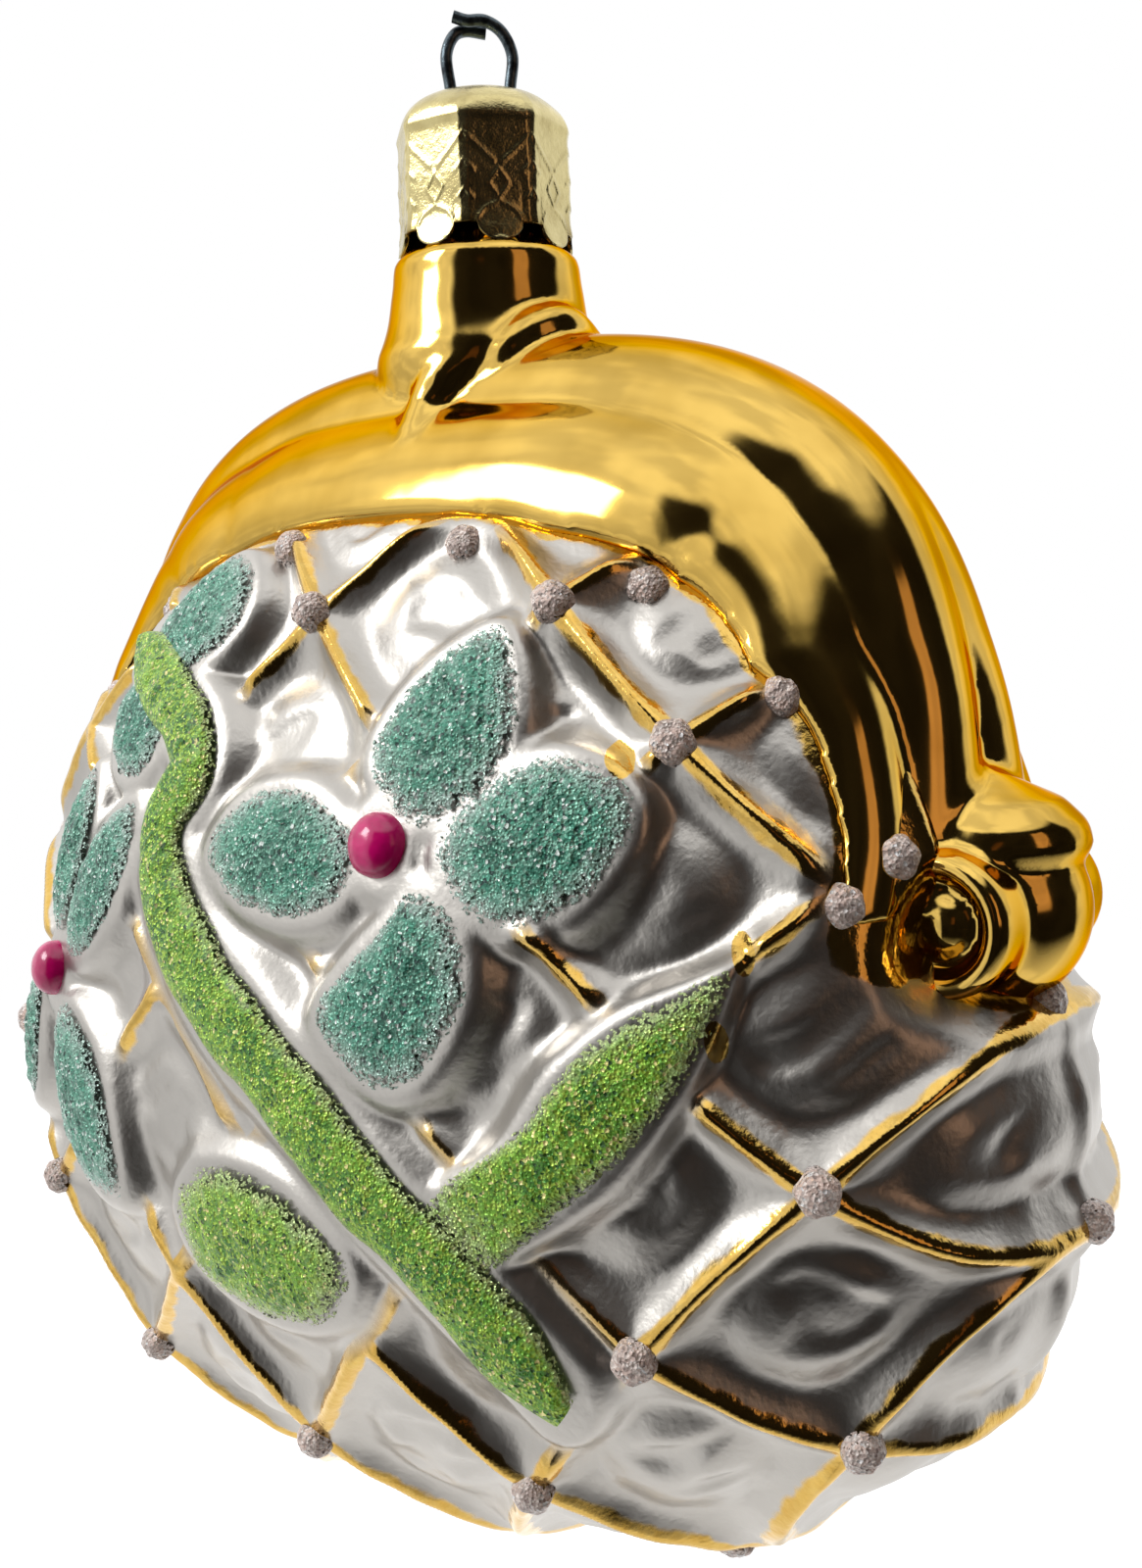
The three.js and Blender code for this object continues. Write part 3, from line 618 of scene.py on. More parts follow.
def frameLoft():
    steps, facets = 150, 12
    rings = []
    for i in range(steps + 1):
        share = i / steps
        reach = abs(share - 0.5) * 2
        band = float(bandAt(share))
        depth = clasp["halfDepth"] + (clasp["endDepth"] - clasp["halfDepth"]) * reach ** 3
        inner = crestAt(np.array([share]))[0] - crestNormal(share) * band
        depth = max(depth * (1 - reach ** 6), bagDepth(inner[0], inner[2]) + clasp["step"])
        half = [(-0.3, 0)]
        for start, end, bulge in (((-0.3, 0), (-0.42 * band, clasp["crease"] * depth), clasp["bulge"] * 1.5),
                                  ((-0.42 * band, clasp["crease"] * depth), (-band, depth), clasp["bulge"])):
            start, end = np.array(start), np.array(end)
            out = np.array([end[1] - start[1], start[0] - end[0]])
            out = out / np.linalg.norm(out)
            for k in range(1, facets + 1):
                t = k / facets
                half.append(tuple(start + (end - start) * t + out * bulge * 4 * t * (1 - t)))
        half.append((-band - clasp["tuck"], depth * 0.65))
        crest, out = crestAt(np.array([share]))[0], crestNormal(share)
        for along, deep in half:
            rings.append(crest + out * along + np.array([0, -deep, 0]))
        for along, deep in half[:0:-1]:
            rings.append(crest + out * along + np.array([0, deep, 0]))
    around = len(rings) // (steps + 1)
    return rings, ringFaces(steps + 1, around, True, True)


def lathe(profile, around=96, centre=(0, 0, 0), turn=None):
    points = []
    for radius, height in profile:
        for i in range(around):
            angle = i / around * 2 * math.pi
            spot = Vector((radius * math.cos(angle), radius * math.sin(angle), height))
            if turn:
                spot = turn @ spot
            points.append(np.array(spot) + np.array(centre))
    return points, ringFaces(len(profile), around, True, True)


def ball(radius, centre, around=48):
    rings = 24
    profile = [(radius * math.sin(i / rings * math.pi) + 1e-4, -radius * math.cos(i / rings * math.pi))
               for i in range(rings + 1)]
    return lathe(profile, around, centre)


def outwards(obj):
    # turns the faces of a coat away from the middle of the bag
    mesh = obj.data
    face = mesh.polygons[len(mesh.polygons) // 2]
    middle = Vector((0, 0, (widestZ + 8) * mm))
    if face.normal.dot(face.center - middle) < 0:
        mesh.flip_normals()


neck = {"waist": 6.1, "foot": 7.4, "rim": 4.2, "grip": 4.5, "capFoot": -13.425, "top": -6.3, "bore": 3.5,
        "boreFoot": -19}
# rolls of glass on the foot of the neck: middle line and radii
neckRolls = [([(3.1, -5.2, -20.4), (1.6, -6, -21.6), (0.7, -6.3, -23.2), (1, -8.1, -26), (1.7, -9.6, -29.2)],
              [1.2, 1.4, 1.5, 1.4, 1.2]),
             ([(4.2, -5, -21.7), (5.1, -4.2, -20.3), (6.1, -2.6, -19), (6.6, -0.6, -18.6), (6.5, 1.6, -19.3)],
              [0.8, 1.2, 1.4, 1.4, 1.2])]
# end balls of the frame: a ball under a domed collar, and a button with a rim on its front and back
boss = {"ball": 5.3, "drop": 0.7,
        "collar": [(0.1, 2.2), (4.9, 2.7), (5.3, 3.5), (5, 4.6), (3.8, 5.8), (0.1, 7.4)],
        "button": [(0.1, 2), (3.8, 2), (3.8, 6.2), (3.6, 6.9), (3.1, 7.2), (2.6, 6.9), (2.3, 5.9), (1.8, 5.8),
                   (1.2, 6.5), (0.6, 6.8), (0.1, 6.9)]}
melt = {"voxel": 0.28, "rounds": 12, "ripple": 0.07, "ripplePitch": 13, "sharpFrom": 55}


def smoothProfile(profile, count):
    return [tuple(p) for p in catmull(profile, count)]


def neckParts():
    foot, waist, capFoot = neck["foot"], neck["waist"], neck["capFoot"]
    outside = [(foot - 2.4, crestZ - 6), (foot - 0.6, crestZ - 3), (foot - 0.3, crestZ - 1.2),
               (foot - 0.7, crestZ), (waist + 0.25, crestZ + 1.2), (waist, crestZ + 2.8),
               (waist - 0.15, capFoot - 1.6), (waist - 0.3, capFoot - 0.35), (waist - 0.9, capFoot + 0.1),
               (neck["grip"] + 0.15, capFoot + 1.2), (neck["rim"], capFoot + 4), (neck["rim"], neck["top"])]
    parts = [lathe(smoothProfile(outside, 64))]
    balls = 16
    for path, radii in neckRolls:
        sizes = catmull([(radius, 0) for radius in radii], balls)[:, 0]
        for spot, radius in zip(catmull(path, balls), sizes):
            parts.append(ball(radius, spot, 28))
    return parts


def bossParts():
    parts = []
    for side in (-1, 1):
        centre = (side * clasp["halfWidth"], 0, bossZ - boss["drop"])
        parts.append(ball(boss["ball"], centre))
        parts.append(lathe(boss["collar"], 72, centre))
        for tilt in (1, -1):
            parts.append(lathe(boss["button"], 60, centre, Matrix.Rotation(tilt * math.pi / 2, 3, "X")))
    return parts


def makeDrill():
    # opens the neck for the wire's bow
    bore, foot = neck["bore"], neck["boreFoot"]
    points, faces = lathe([(bore - 2.6, foot), (bore - 0.9, foot + 0.4), (bore - 0.2, foot + 1.2),
                           (bore, foot + 2.4), (bore, 0)], 64)
    drill = makeMesh("drill", points, faces, gold)
    outwards(drill)
    return drill


def meltTogether(obj):
    # one smooth closed skin round all parts, with the neck open
    remesh = obj.modifiers.new("melt", "REMESH")
    remesh.mode = "VOXEL"
    remesh.voxel_size = melt["voxel"] * mm
    soften = obj.modifiers.new("soften", "SMOOTH")
    soften.factor = 0.5
    soften.iterations = melt["rounds"]
    drill = makeDrill()
    opening = obj.modifiers.new("opening", "BOOLEAN")
    opening.object = drill
    opening.operation = "DIFFERENCE"
    opening.solver = "MANIFOLD"
    bpy.context.view_layer.update()
    mesh = bpy.data.meshes.new_from_object(obj.evaluated_get(bpy.context.evaluated_depsgraph_get()))
    obj.modifiers.clear()
    bpy.data.objects.remove(drill)
    return mesh


def rippleSkin(mesh):
    count = len(mesh.vertices) * 3
    spots, normals = np.zeros(count), np.zeros(count)
    mesh.vertices.foreach_get("co", spots)
    mesh.vertices.foreach_get("normal", normals)
    spots = spots.reshape(-1, 3) / mm
    spots += normals.reshape(-1, 3) * (melt["ripple"] * waves(spots, melt["ripplePitch"], 5))[:, None]
    mesh.vertices.foreach_set("co", (spots * mm).ravel())
    mesh.polygons.foreach_set("use_smooth", [True] * len(mesh.polygons))
    mesh.set_sharp_from_angle(angle=math.radians(melt["sharpFrom"]))
    mesh.materials.clear()
    mesh.materials.append(gold)
    mesh.update()


def makeClasp():
    points, faces = [], []
    for some, sides in [frameLoft()] + neckParts() + bossParts():
        faces += [tuple(i + len(points) for i in face) for face in sides]
        points += list(some)
    obj = makeMesh("clasp_frame", points, faces, gold)
    obj.data = meltTogether(obj)
    rippleSkin(obj.data)
    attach(obj, "glass")
    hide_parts("glass_shell")


makeClasp()
print("clasp made")


# stamped cap
def capMaterial():
    look = {"light": srgb("#cfc18b"), "dark": srgb("#8f7c44"), "roughness": 0.19}
    material, tree, shader = newMaterial("stamped_metal")
    # painted shade: the notches between the tabs and the inside of the cap take the dark colour, as shade in
    # these hollows; the stain noise is random tone
    hollow = put(tree, "ShaderNodeAttribute", attribute_name="hollow").outputs["Fac"]
    stain = times(tree, ramp(tree, noise(tree, 700, 4), 0.4, 0.75), 0.35)
    colour = blendColour(tree, maths(tree, "MAXIMUM", stain, hollow), look["light"], look["dark"])
    grain = plus(tree, noise(tree, 2500, 3), times(tree, noise(tree, 9000, 2), 0.4))
    feed(tree, shader, Base_Color=colour, Metallic=1.0, Normal=bump(tree, grain, 0.00003),
         Roughness=scaled(tree, noise(tree, 900, 3), 0.14, look["roughness"] - 0.05))
    return material


cap = {"panels": 8, "across": 10.3, "top": -3.575, "height": 9.85, "dome": 3.15, "wall": 0.35, "flare": 0.3,
       "tab": 1.1, "tabShare": 0.66, "firstNormal": 51}


def segmentGap(x, y, a, b):
    ax, ay = a
    bx, by = b
    t = np.clip(((x - ax) * (bx - ax) + (y - ay) * (by - ay)) / ((bx - ax) ** 2 + (by - ay) ** 2), 0, 1)
    return np.hypot(x - ax - t * (bx - ax), y - ay - t * (by - ay))


def stampedLine(gap, width):
    return np.exp(-(gap / width) ** 2)


# stamping of half a panel: mm aside from its middle, and mm below the shoulder
stamp = {"lines": [((2.2, 0.3), (0.25, 2.1)), ((2.2, 2.0), (1.5, 2.6)), ((2.2, 3.6), (1.6, 4.2)),
                   ((2.1, 6.3), (0.9, 4.8)), ((0.9, 4.8), (0.0, 4.4)), ((0.0, 2.5), (0.62, 3.35)),
                   ((0.62, 3.35), (0.0, 4.2))],
         "width": 0.11, "depth": 0.055, "ringDown": 7.4, "ring": 0.8, "pip": 0.28}


def stamping(x, y):
    lift = np.zeros(len(x))
    for a, b in stamp["lines"]:
        lift = np.maximum(lift, stampedLine(segmentGap(np.abs(x), y, a, b), stamp["width"]))
    ring = np.hypot(x, y - stamp["ringDown"])
    lift = np.maximum(lift, stampedLine(ring - stamp["ring"], stamp["width"]))
    return np.maximum(lift, stampedLine(ring, stamp["pip"]))


def makeCap():
    around, rows = 8 * 60, 150
    sector = 2 * math.pi / cap["panels"]
    half = cap["across"] / 2
    foot = cap["top"] - cap["height"]
    shoulder = cap["top"] - cap["dome"]
    profile = smoothProfile([(half * 0.02, cap["top"], 0), (half * 0.3, cap["top"], 0),
                             (half * 0.7, cap["top"] - cap["dome"] * 0.12, 0),
                             (half * 0.92, cap["top"] - cap["dome"] * 0.4, 0.5),
                             (half, cap["top"] - cap["dome"] * 0.72, 0.95), (half * 0.985, shoulder, 1),
                             (half, shoulder - 2.5, 1), (half + 0.02, shoulder - 4.5, 1),
                             (half + cap["flare"], foot + cap["tab"], 1)], rows)
    angle = np.arange(around) / around * 2 * math.pi
    inSector = (angle / sector) % 1 - 0.5
    fromMiddle = np.abs(inSector) * 2
    corner = np.minimum(1 / np.cos(fromMiddle * sector / 2), 1.062)
    lobe = np.sqrt(np.maximum(1 - (fromMiddle / cap["tabShare"]) ** 2, 0))
    heading = angle + math.radians(cap["firstNormal"]) - sector / 2
    points, hollow = [], []
    for inner in (False, True):
        for radius, z, sharp in (profile if not inner else profile[::-1]):
            below = np.clip((shoulder - z) / (shoulder - foot - cap["tab"]), 0, 1) ** 6
            drop = z - below * cap["tab"] * lobe
            r = radius * (1 + (corner - 1) * sharp)
            x = np.tan(inSector * sector) * radius
            lift = stamping(x, shoulder - drop) * (sharp > 0.98) * stamp["depth"]
            notch = (1 - lobe) * below
            lift = lift - notch * 0.25
            if inner:
                r = r - cap["wall"]
                drop = drop - cap["wall"] * (1 - sharp)
            r = r + lift
            points.append(np.stack([r * np.sin(heading), -r * np.cos(heading), drop], axis=-1))
            # painted shade in the notches and over the whole inside of the cap, carried to the shader as
            # 'hollow'
            hollow.append(np.clip(notch * 0.9 + (0 if not inner else 0.5), 0, 1))
    points = np.concatenate(points)
    faces = [face[::-1] for face in ringFaces(rows * 2, around, True, True)]
    obj = makeMesh("stamped_cap", points, faces, capMaterial())
    setPointValues(obj, "hollow", np.concatenate(hollow))
    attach(obj, "cap")
    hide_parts("cap")


makeCap()
print("cap made")


# wire hanger
def wireMaterial():
    look = {"steel": srgb("#5b666c"), "stain": srgb("#2c3136"), "roughness": 0.32}
    material, tree, shader = newMaterial("drawn_wire")
    patch = ramp(tree, noise(tree, 1200, 4), 0.42, 0.65)
    scratch = noise(tree, 9000, 2)
    feed(tree, shader, Base_Color=blendColour(tree, patch, look["steel"], look["stain"]), Metallic=0.95,
         Roughness=scaled(tree, scratch, 0.2, look["roughness"] - 0.1),
         Normal=bump(tree, scratch, 0.00002))
    return material


wire = {"radius": 0.375, "loopHalf": 2.05, "loopTop": 1.225, "lap": 0.4, "spread": 1.75, "turn": 41,
        "bow": 13, "clear": 0.48, "sides": 20, "steps": 420}


def tube(points, radius, sides):
    points = [Vector(p) for p in points]
    rings = []
    side = None
    for i, point in enumerate(points):
        along = (points[min(i + 1, len(points) - 1)] - points[max(i - 1, 0)]).normalized()
        if side is None:
            side = along.orthogonal().normalized()
        side = (side - along * side.dot(along)).normalized()
        up = along.cross(side)
        for k in range(sides):
            angle = k / sides * 2 * math.pi
            rings.append(point + side * math.cos(angle) * radius + up * math.sin(angle) * radius)
    return np.array(rings), ringFaces(len(points), sides, True, True)


def makeHanger():
    bow = neck["bore"] - wire["radius"] - wire["clear"]
    top, loopTop, lap = cap["top"], wire["loopTop"], wire["lap"]
    loop, hole = wire["loopHalf"], wire["spread"]
    foot = top - wire["bow"]
    route = [(-1.55, -lap, loopTop - 0.05), (-0.7, -lap, loopTop - 0.3), (0.4, -lap * 0.8, loopTop - 0.3),
             (1.45, -lap * 0.4, loopTop - 0.95), (loop, 0, loopTop - 2.3), (hole + 0.12, 0, top + 0.7),
             (hole, 0, top - 0.6), (hole + 0.5, 0, top - 2.4), (bow, 0, top - 5.2),
             (bow, 0, foot + bow * 1.05), (bow * 0.72, 0, foot + bow * 0.32), (0, 0, foot),
             (-bow * 0.72, 0, foot + bow * 0.32),
             (-bow, 0, foot + bow * 1.05), (-bow, 0, top - 5.2), (-hole - 0.5, 0, top - 2.4),
             (-hole, 0, top - 0.6), (-hole - 0.12, 0, top + 0.7), (-loop, 0, loopTop - 2.3),
             (-1.6, lap * 0.5, loopTop - 1.05), (-0.8, lap, loopTop - 0.62), (0.45, lap, loopTop - 0.8)]
    line = catmull(route, wire["steps"])
    turn = math.radians(wire["turn"])
    line = np.stack([line[:, 0] * math.cos(turn) - line[:, 1] * math.sin(turn),
                     line[:, 0] * math.sin(turn) + line[:, 1] * math.cos(turn), line[:, 2]], axis=-1)
    points, faces = tube(line, wire["radius"], wire["sides"])
    obj = makeMesh("wire_hanger", points, faces, wireMaterial())
    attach(obj, "hanger")
    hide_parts("hanger_wire")


makeHanger()
print("hanger made")


# glitter and enamel on the glass
def glitterMaterial(name, look):
    material, tree, shader = newMaterial(name)
    flake = flakes(tree, look["flakes"])
    shade = put(tree, "ShaderNodeSeparateColor")
    tree.links.new(flake.outputs["Color"], shade.inputs[0])
    thin = put(tree, "ShaderNodeAttribute", attribute_name="thin").outputs["Fac"]
    patch = plus(tree, noise(tree, look["patches"], 4), times(tree, thin, 0.45))
    colour = blendColour(tree, ramp(tree, patch, 0.4, 0.66), look["dark"], look["main"])
    colour = blendColour(tree, ramp(tree, shade.outputs[0], 0.32, 0.92), colour, look["light"])
    # painted glints: a few flakes are painted near white as sparkles
    colour = blendColour(tree, ramp(tree, shade.outputs[1], 0.93, 0.97), colour, look["spark"])
    colour = blendColour(tree, ramp(tree, shade.outputs[2], 0.9, 0.95), colour, look["speck"])
    worn = ramp(tree, plus(tree, thin, swing(tree, 1500, 3, 0.8)), 0.12, 0.8)
    colour = blendColour(tree, times(tree, worn, 0.75), colour, look["thin"])
    grit = scaled(tree, minus(tree, noise(tree, 4200, 2), 0.5), 2.0, thin)
    solid = minus(tree, 1, ramp(tree, grit, 0.68, 0.76))
    tilt = vectorMaths(tree, "SUBTRACT", flake.outputs["Color"], (0.5, 0.5, 0.5))
    spread = vectorMaths(tree, "SCALE", tilt, look["scatter"])
    grain = bump(tree, plus(tree, noise(tree, 2600, 3), flake.outputs["Distance"]), 0.00012)
    facet = vectorMaths(tree, "NORMALIZE", vectorMaths(tree, "ADD", grain, spread))
    feed(tree, shader, Base_Color=colour, Metallic=look["metal"], Roughness=0.3, Normal=facet,
         Coat_Weight=0.25, Coat_Roughness=0.3, Alpha=solid)
    return material


tealGlitter = glitterMaterial("teal_glitter", {
    "dark": srgb("#1d6450"), "main": srgb("#48957c"), "light": srgb("#86bfa8"), "spark": srgb("#f2fff8"),
    "speck": srgb("#0f3a34"), "thin": srgb("#c3d6cd"), "flakes": 5600, "patches": 500, "scatter": 0.6,
    "metal": 0.35})
limeGlitter = glitterMaterial("lime_glitter", {
    "dark": srgb("#3c7d1c"), "main": srgb("#79b02c"), "light": srgb("#b3d94e"), "spark": srgb("#fdf3a0"),
    "speck": srgb("#23500f"), "thin": srgb("#c5d39a"), "flakes": 5600, "patches": 420, "scatter": 0.6,
    "metal": 0.35})
roseGlitter = glitterMaterial("rose_glitter", {
    "dark": srgb("#b9a69e"), "main": srgb("#e2c6b9"), "light": srgb("#f8ebe3"), "spark": srgb("#ffffff"),
    "speck": srgb("#9a8780"), "thin": srgb("#cfc4c0"), "flakes": 5600, "patches": 600, "scatter": 0.6,
    "metal": 0.05})


def enamelMaterial():
    look = {"deep": srgb("#b8005c"), "bright": srgb("#d80572"), "roughness": 0.22}
    material, tree, shader = newMaterial("magenta_enamel")
    colour = blendColour(tree, ramp(tree, noise(tree, 500, 3), 0.35, 0.65), look["deep"], look["bright"])
    feed(tree, shader, Base_Color=colour, Roughness=look["roughness"], Coat_Weight=0.4, Coat_Roughness=0.08,
         Normal=bump(tree, noise(tree, 900, 2), 0.00008))
    return material


enamel = enamelMaterial()
coat = {"petal": 0.6, "leaf": 0.7, "vine": 0.95, "seat": -0.1}


def makeCoat(name, outline, rise, material, seed):
    rings, around = 34, 132
    share = np.repeat(np.linspace(0.02, 1, rings), around)
    angle = np.tile(np.arange(around) / around * 2 * math.pi - math.pi, rings)
    wobble = 1 + 0.02 * np.sin(angle * 7 + seed) + 0.012 * np.sin(angle * 17 + seed * 2)
    reach = outline.radius(angle) * share * wobble
    spots = outline.middle + np.stack([np.cos(angle), np.sin(angle)], axis=-1) * reach[:, None]
    turn, down = unflat(spots)
    seen = np.stack([spots[:, 0], spots[:, 1], 0 * turn], axis=-1)
    lumps = waves(seen, 1.1, seed) * 0.06 + waves(seen, 0.45, seed + 1) * 0.03
    lift = coat["seat"] + (rise - coat["seat"]) * np.maximum(1 - share ** 2.6, 0) ** 0.6
    lift = lift + lumps * (share < 0.97)
    points = skinPoint(turn, down, lift)
    obj = makeMesh(name + "_coat", points, ringFaces(rings, around, True, False), material)
    setPointValues(obj, "thin", share ** 3)
    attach(obj, "glass")
    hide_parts(name)
    return obj


for number, (name, outline) in enumerate(outlines.items()):
    if name in leaves:
        outwards(makeCoat(name, outline, coat["leaf"], limeGlitter, number * 3 + 1))
    else:
        outwards(makeCoat(name, outline, coat["petal"], tealGlitter, number * 3 + 1))
print("petals made")


def makeVine():
    across = 26
    line = vineLine
    steps = len(line)
    ahead = np.gradient(line, axis=0)
    ahead /= np.linalg.norm(ahead, axis=1, keepdims=True)
    side = np.stack([-ahead[:, 1], ahead[:, 0]], axis=-1)
    t = np.linspace(0, 1, steps)
    taper = np.sqrt(np.clip(np.minimum(t * 22, (1 - t) * 16 + 0.15), 0, 1))
    shares = np.linspace(-1, 1, across)
    points, thin = [], []
    for i in range(steps):
        edge = vineHalfWidth * taper[i] * (1 + 0.06 * math.sin(i * 0.11) + 0.03 * math.sin(i * 0.29 + 1))
        spots = line[i] + side[i] * (shares * edge)[:, None]
        swell = np.sqrt(np.maximum(1 - np.abs(shares) ** 2.6, 0))
        lift = coat["seat"] + (coat["vine"] - coat["seat"]) * swell
        seen = np.stack([spots[:, 0], spots[:, 1], 0 * shares], axis=-1)
        lift = lift + (waves(seen, 1.4, 21) * 0.07 + waves(seen, 0.5, 22) * 0.03) * (1 - shares ** 2)
        turn, down = unflat(spots)
        points.append((turn, down, lift))
        thin.append(np.abs(shares) ** 4)
    turn, down, lift = (np.concatenate(part) for part in zip(*points))
    spots = skinPoint(turn, down, lift)
    faces = [(r * across + i, r * across + i + 1, (r + 1) * across + i + 1, (r + 1) * across + i)
             for r in range(steps - 1) for i in range(across - 1)]
    obj = makeMesh("vine_coat", spots, faces, limeGlitter)
    setPointValues(obj, "thin", np.concatenate(thin))
    outwards(obj)
    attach(obj, "glass")
    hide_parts("vine")


makeVine()


def makeDome(name, node, turn, down, size, material, seed):
    rings, around = 16, 48
    radii, rough = size["across"], size["rough"]
    share = np.repeat(np.linspace(0.03, 1, rings), around)
    angle = np.tile(np.arange(around) / around * 2 * math.pi, rings)
    middle = skinPoint(np.array([turn]), np.array([down]))[0]
    normal = Vector(bagNormal(np.array([turn]), np.array([down]))[0])
    aside = Vector((0, 0, 1)).cross(normal).normalized()
    above = normal.cross(aside)
    rise = size["height"] * np.sqrt(np.maximum(1 - share ** 2.2, 0)) - 0.45 * (share > 0.97) - 0.1
    flatSpots = np.stack([np.cos(angle) * share * radii[0], np.sin(angle) * share * radii[1]], axis=-1)
    seen = np.stack([flatSpots[:, 0], flatSpots[:, 1], 0 * share], axis=-1)
    rise = rise + rough * waves(seen, 0.6, seed)
    flatSpots = flatSpots * (1 + rough * 0.8 * np.sin(angle * 5 + seed))[:, None]
    points = (middle + flatSpots[:, :1] * np.array(aside) + flatSpots[:, 1:] * np.array(above)
              + rise[:, None] * np.array(normal))
    obj = makeMesh(name, points, ringFaces(rings, around, True, False), material)
    setPointValues(obj, "thin", 0.6 * share ** 8)
    outwards(obj)
    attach(obj, "glass")
    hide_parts(node)


bead = {"across": (1.7, 1.8), "height": 1.5, "rough": 0.01}
dot = {"across": (1.15, 1.15), "height": 0.95, "rough": 0.06}
for number, (name, (turn, down)) in enumerate(beads.items()):
    makeDome(name + "_enamel", name, math.radians(turn), down, bead, enamel, number)


def makeDots():
    # each dot stands where its node's box has its middle
    turns = np.linspace(-math.pi * 0.65, math.pi * 0.65, 700)
    downs = np.linspace(-52, 34, 500)
    turn, down = (grid.ravel() for grid in np.meshgrid(turns, downs))
    skin = bagBase(turn, down)
    out = bagNormal(turn, down)
    for number, name in enumerate(sorted(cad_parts)):
        if not name.startswith("dot_"):
            continue
        low, high = (np.array(corner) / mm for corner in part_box(name))
        middle = (low + high) / 2
        away = middle - skin
        aside = np.linalg.norm(away - (away * out).sum(axis=1)[:, None] * out, axis=1)
        best = int(np.argmin(aside + 0.02 * np.linalg.norm(away, axis=1)))
        makeDome(name + "_sugar", name, turn[best], down[best], dot, roseGlitter, number)


makeDots()
print("coats made")


# surroundings: a white room with one dark side, and a pale floor below
# directions are degrees round from the front, heights are the sine of the rise
room = {"light": (1, 1, 1, 1), "low": 0.8, "high": 1.25, "rise": (-0.7, 0.8), "drift": 0.3, "driftPitch": 2.6}
darkSide = {"middle": 66, "half": 69, "top": 50, "soft": 4.5, "shade": (0.013, 0.011, 0.01, 1)}
# things that stand in the dark side: middle, half width, from and to height, colour
things = [(84, 9, 0.02, 0.6, (0.62, 0.36, 0.22, 1)), (34, 4, 0.05, 0.4, (0.09, 0.04, 0.02, 1)),
          (66, 60, -1.2, -0.83, (0.8, 0.78, 0.75, 1))]


def darkShare(tree, way, height):
    # 1 in the dark side of the room
    levelWay = put(tree, "ShaderNodeVectorMath", operation="MULTIPLY")
    tree.links.new(way, levelWay.inputs[0])
    levelWay.inputs[1].default_value = (1, 1, 0)
    towards = vectorMaths(tree, "NORMALIZE", levelWay.outputs[0])
    facing = put(tree, "ShaderNodeVectorMath", operation="DOT_PRODUCT")
    tree.links.new(towards, facing.inputs[0])
    middle, half = math.radians(darkSide["middle"]), darkSide["half"]
    top, soft = darkSide["top"], darkSide["soft"]
    facing.inputs[1].default_value = (math.sin(middle), -math.cos(middle), 0)
    inside = ramp(tree, facing.outputs["Value"], math.cos(math.radians(half + soft)),
                  math.cos(math.radians(half - soft)))
    above = ramp(tree, height, math.sin(math.radians(top - soft)), math.sin(math.radians(top + soft)))
    return times(tree, inside, minus(tree, 1, above))


def thingShare(tree, parts, middle, half, low, high):
    soft, softHeight = 1.5, 0.03
    facing = maths(tree, "ARCTAN2", parts.outputs[0], times(tree, parts.outputs[1], -1))
    aside = maths(tree, "ABSOLUTE", minus(tree, facing, math.radians(middle)))
    beyond = ramp(tree, aside, math.radians(half - soft), math.radians(half + soft))
    over = ramp(tree, parts.outputs[2], high - softHeight, high + softHeight)
    share = times(tree, minus(tree, 1, beyond), minus(tree, 1, over))
    return times(tree, share, ramp(tree, parts.outputs[2], low - softHeight, low + softHeight))


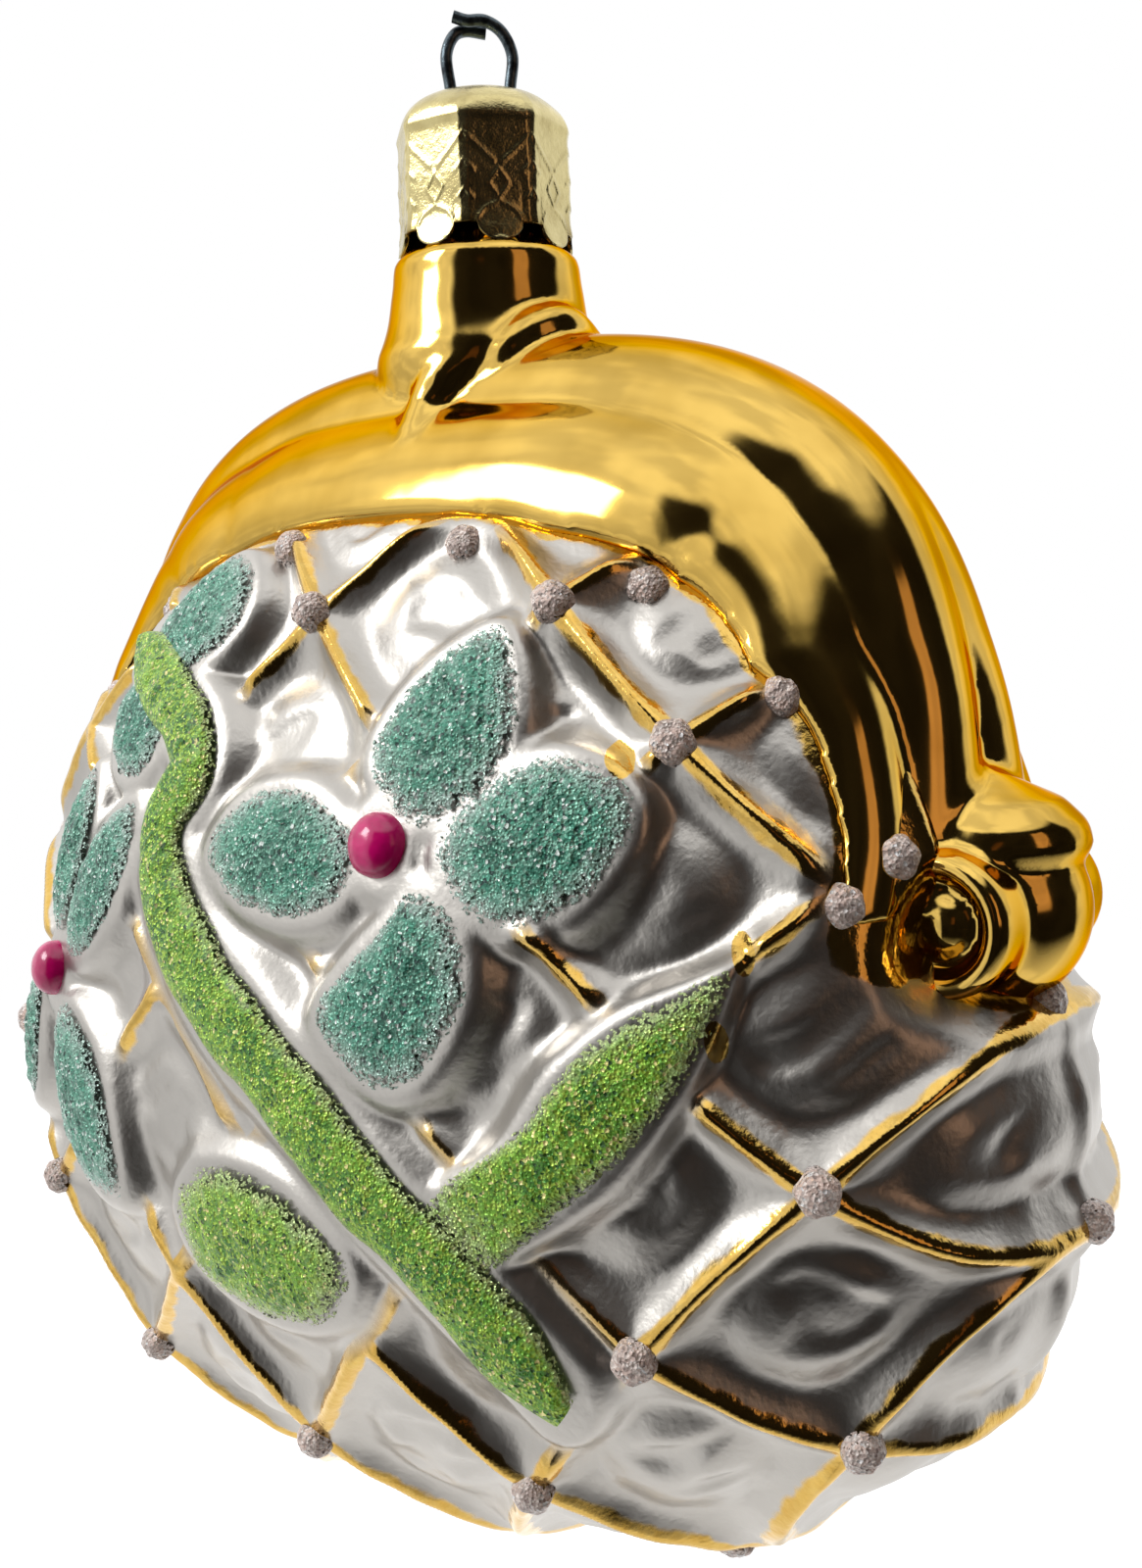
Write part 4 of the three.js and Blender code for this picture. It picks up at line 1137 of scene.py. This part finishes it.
def makeWorld():
    world = bpy.data.worlds.new("room")
    bpy.context.scene.world = world
    world.use_nodes = True
    tree = world.node_tree
    tree.nodes.clear()
    way = put(tree, "ShaderNodeTexCoord").outputs["Generated"]
    parts = put(tree, "ShaderNodeSeparateXYZ")
    tree.links.new(way, parts.inputs[0])
    notSeen = minus(tree, 1, put(tree, "ShaderNodeLightPath").outputs["Is Camera Ray"])
    dark = times(tree, darkShare(tree, way, parts.outputs[2]), notSeen)
    shade = darkSide["shade"]
    for middle, half, low, high, tint in things:
        shade = blendColour(tree, thingShare(tree, parts, middle, half, low, high), shade, tint)
    drift = feed(tree, put(tree, "ShaderNodeTexNoise"), Vector=way, Scale=room["driftPitch"], Detail=2.0)
    change = scaled(tree, ramp(tree, drift.outputs[0], 0.4, 0.6), room["drift"], 0.78)
    upwards = ramp(tree, parts.outputs[2], *room["rise"])
    strength = times(tree, scaled(tree, upwards, room["high"] - room["low"], room["low"]), change)
    ground = put(tree, "ShaderNodeBackground")
    tree.links.new(blendColour(tree, dark, room["light"], shade), ground.inputs["Color"])
    white = minus(tree, 1, notSeen)    # the camera sees a plain white wall
    tree.links.new(plus(tree, times(tree, strength, notSeen), white), ground.inputs["Strength"])
    out = put(tree, "ShaderNodeOutputWorld")
    tree.links.new(ground.outputs[0], out.inputs[0])


def makeFloor():
    look = {"below": 36, "radius": 300, "centre": (-45, 135), "colour": (0.95, 0.95, 0.95, 1)}
    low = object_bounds()[0][2] / mm - look["below"]
    around = 96
    middleX, middleY = look["centre"]
    ring = [(middleX + look["radius"] * math.cos(i / around * 2 * math.pi),
             middleY + look["radius"] * math.sin(i / around * 2 * math.pi), low) for i in range(around)]
    material, tree, shader = newMaterial("floor")
    coords = put(tree, "ShaderNodeTexCoord").outputs["Object"]
    reach = put(tree, "ShaderNodeVectorMath", operation="LENGTH")
    flatWay = put(tree, "ShaderNodeVectorMath", operation="MULTIPLY")
    tree.links.new(vectorMaths(tree, "SUBTRACT", coords, (middleX * mm, middleY * mm, 0)), flatWay.inputs[0])
    flatWay.inputs[1].default_value = (1, 1, 0)
    tree.links.new(flatWay.outputs[0], reach.inputs[0])
    fade = minus(tree, 1, ramp(tree, reach.outputs["Value"], 0.09, 0.27))
    mottle = scaled(tree, noise(tree, 60, 3), 0.02, 0.3)
    feed(tree, shader, Base_Color=look["colour"], Roughness=0.9, Specular_IOR_Level=0.1,
         Emission_Color=(1, 1, 1, 1), Emission_Strength=mottle, Alpha=fade)
    floor = makeMesh("floor", ring, [tuple(range(around))], material, False)


def makeLight():
    look = {"size": 0.22, "power": 1.6, "place": (-0.28, -0.42, 0.32)}
    data = bpy.data.lights.new("soft_box", "AREA")
    data.size = look["size"]
    data.energy = look["power"]
    light = bpy.data.objects.new("soft_box", data)
    light.location = look["place"]
    light.rotation_euler = (Vector((0, 0, -0.05)) - Vector(look["place"])).to_track_quat("-Z", "Y").to_euler()
    bpy.context.scene.collection.objects.link(light)


makeWorld()
makeFloor()
makeLight()
bpy.context.scene.view_settings.view_transform = "Standard"
print("surroundings made")
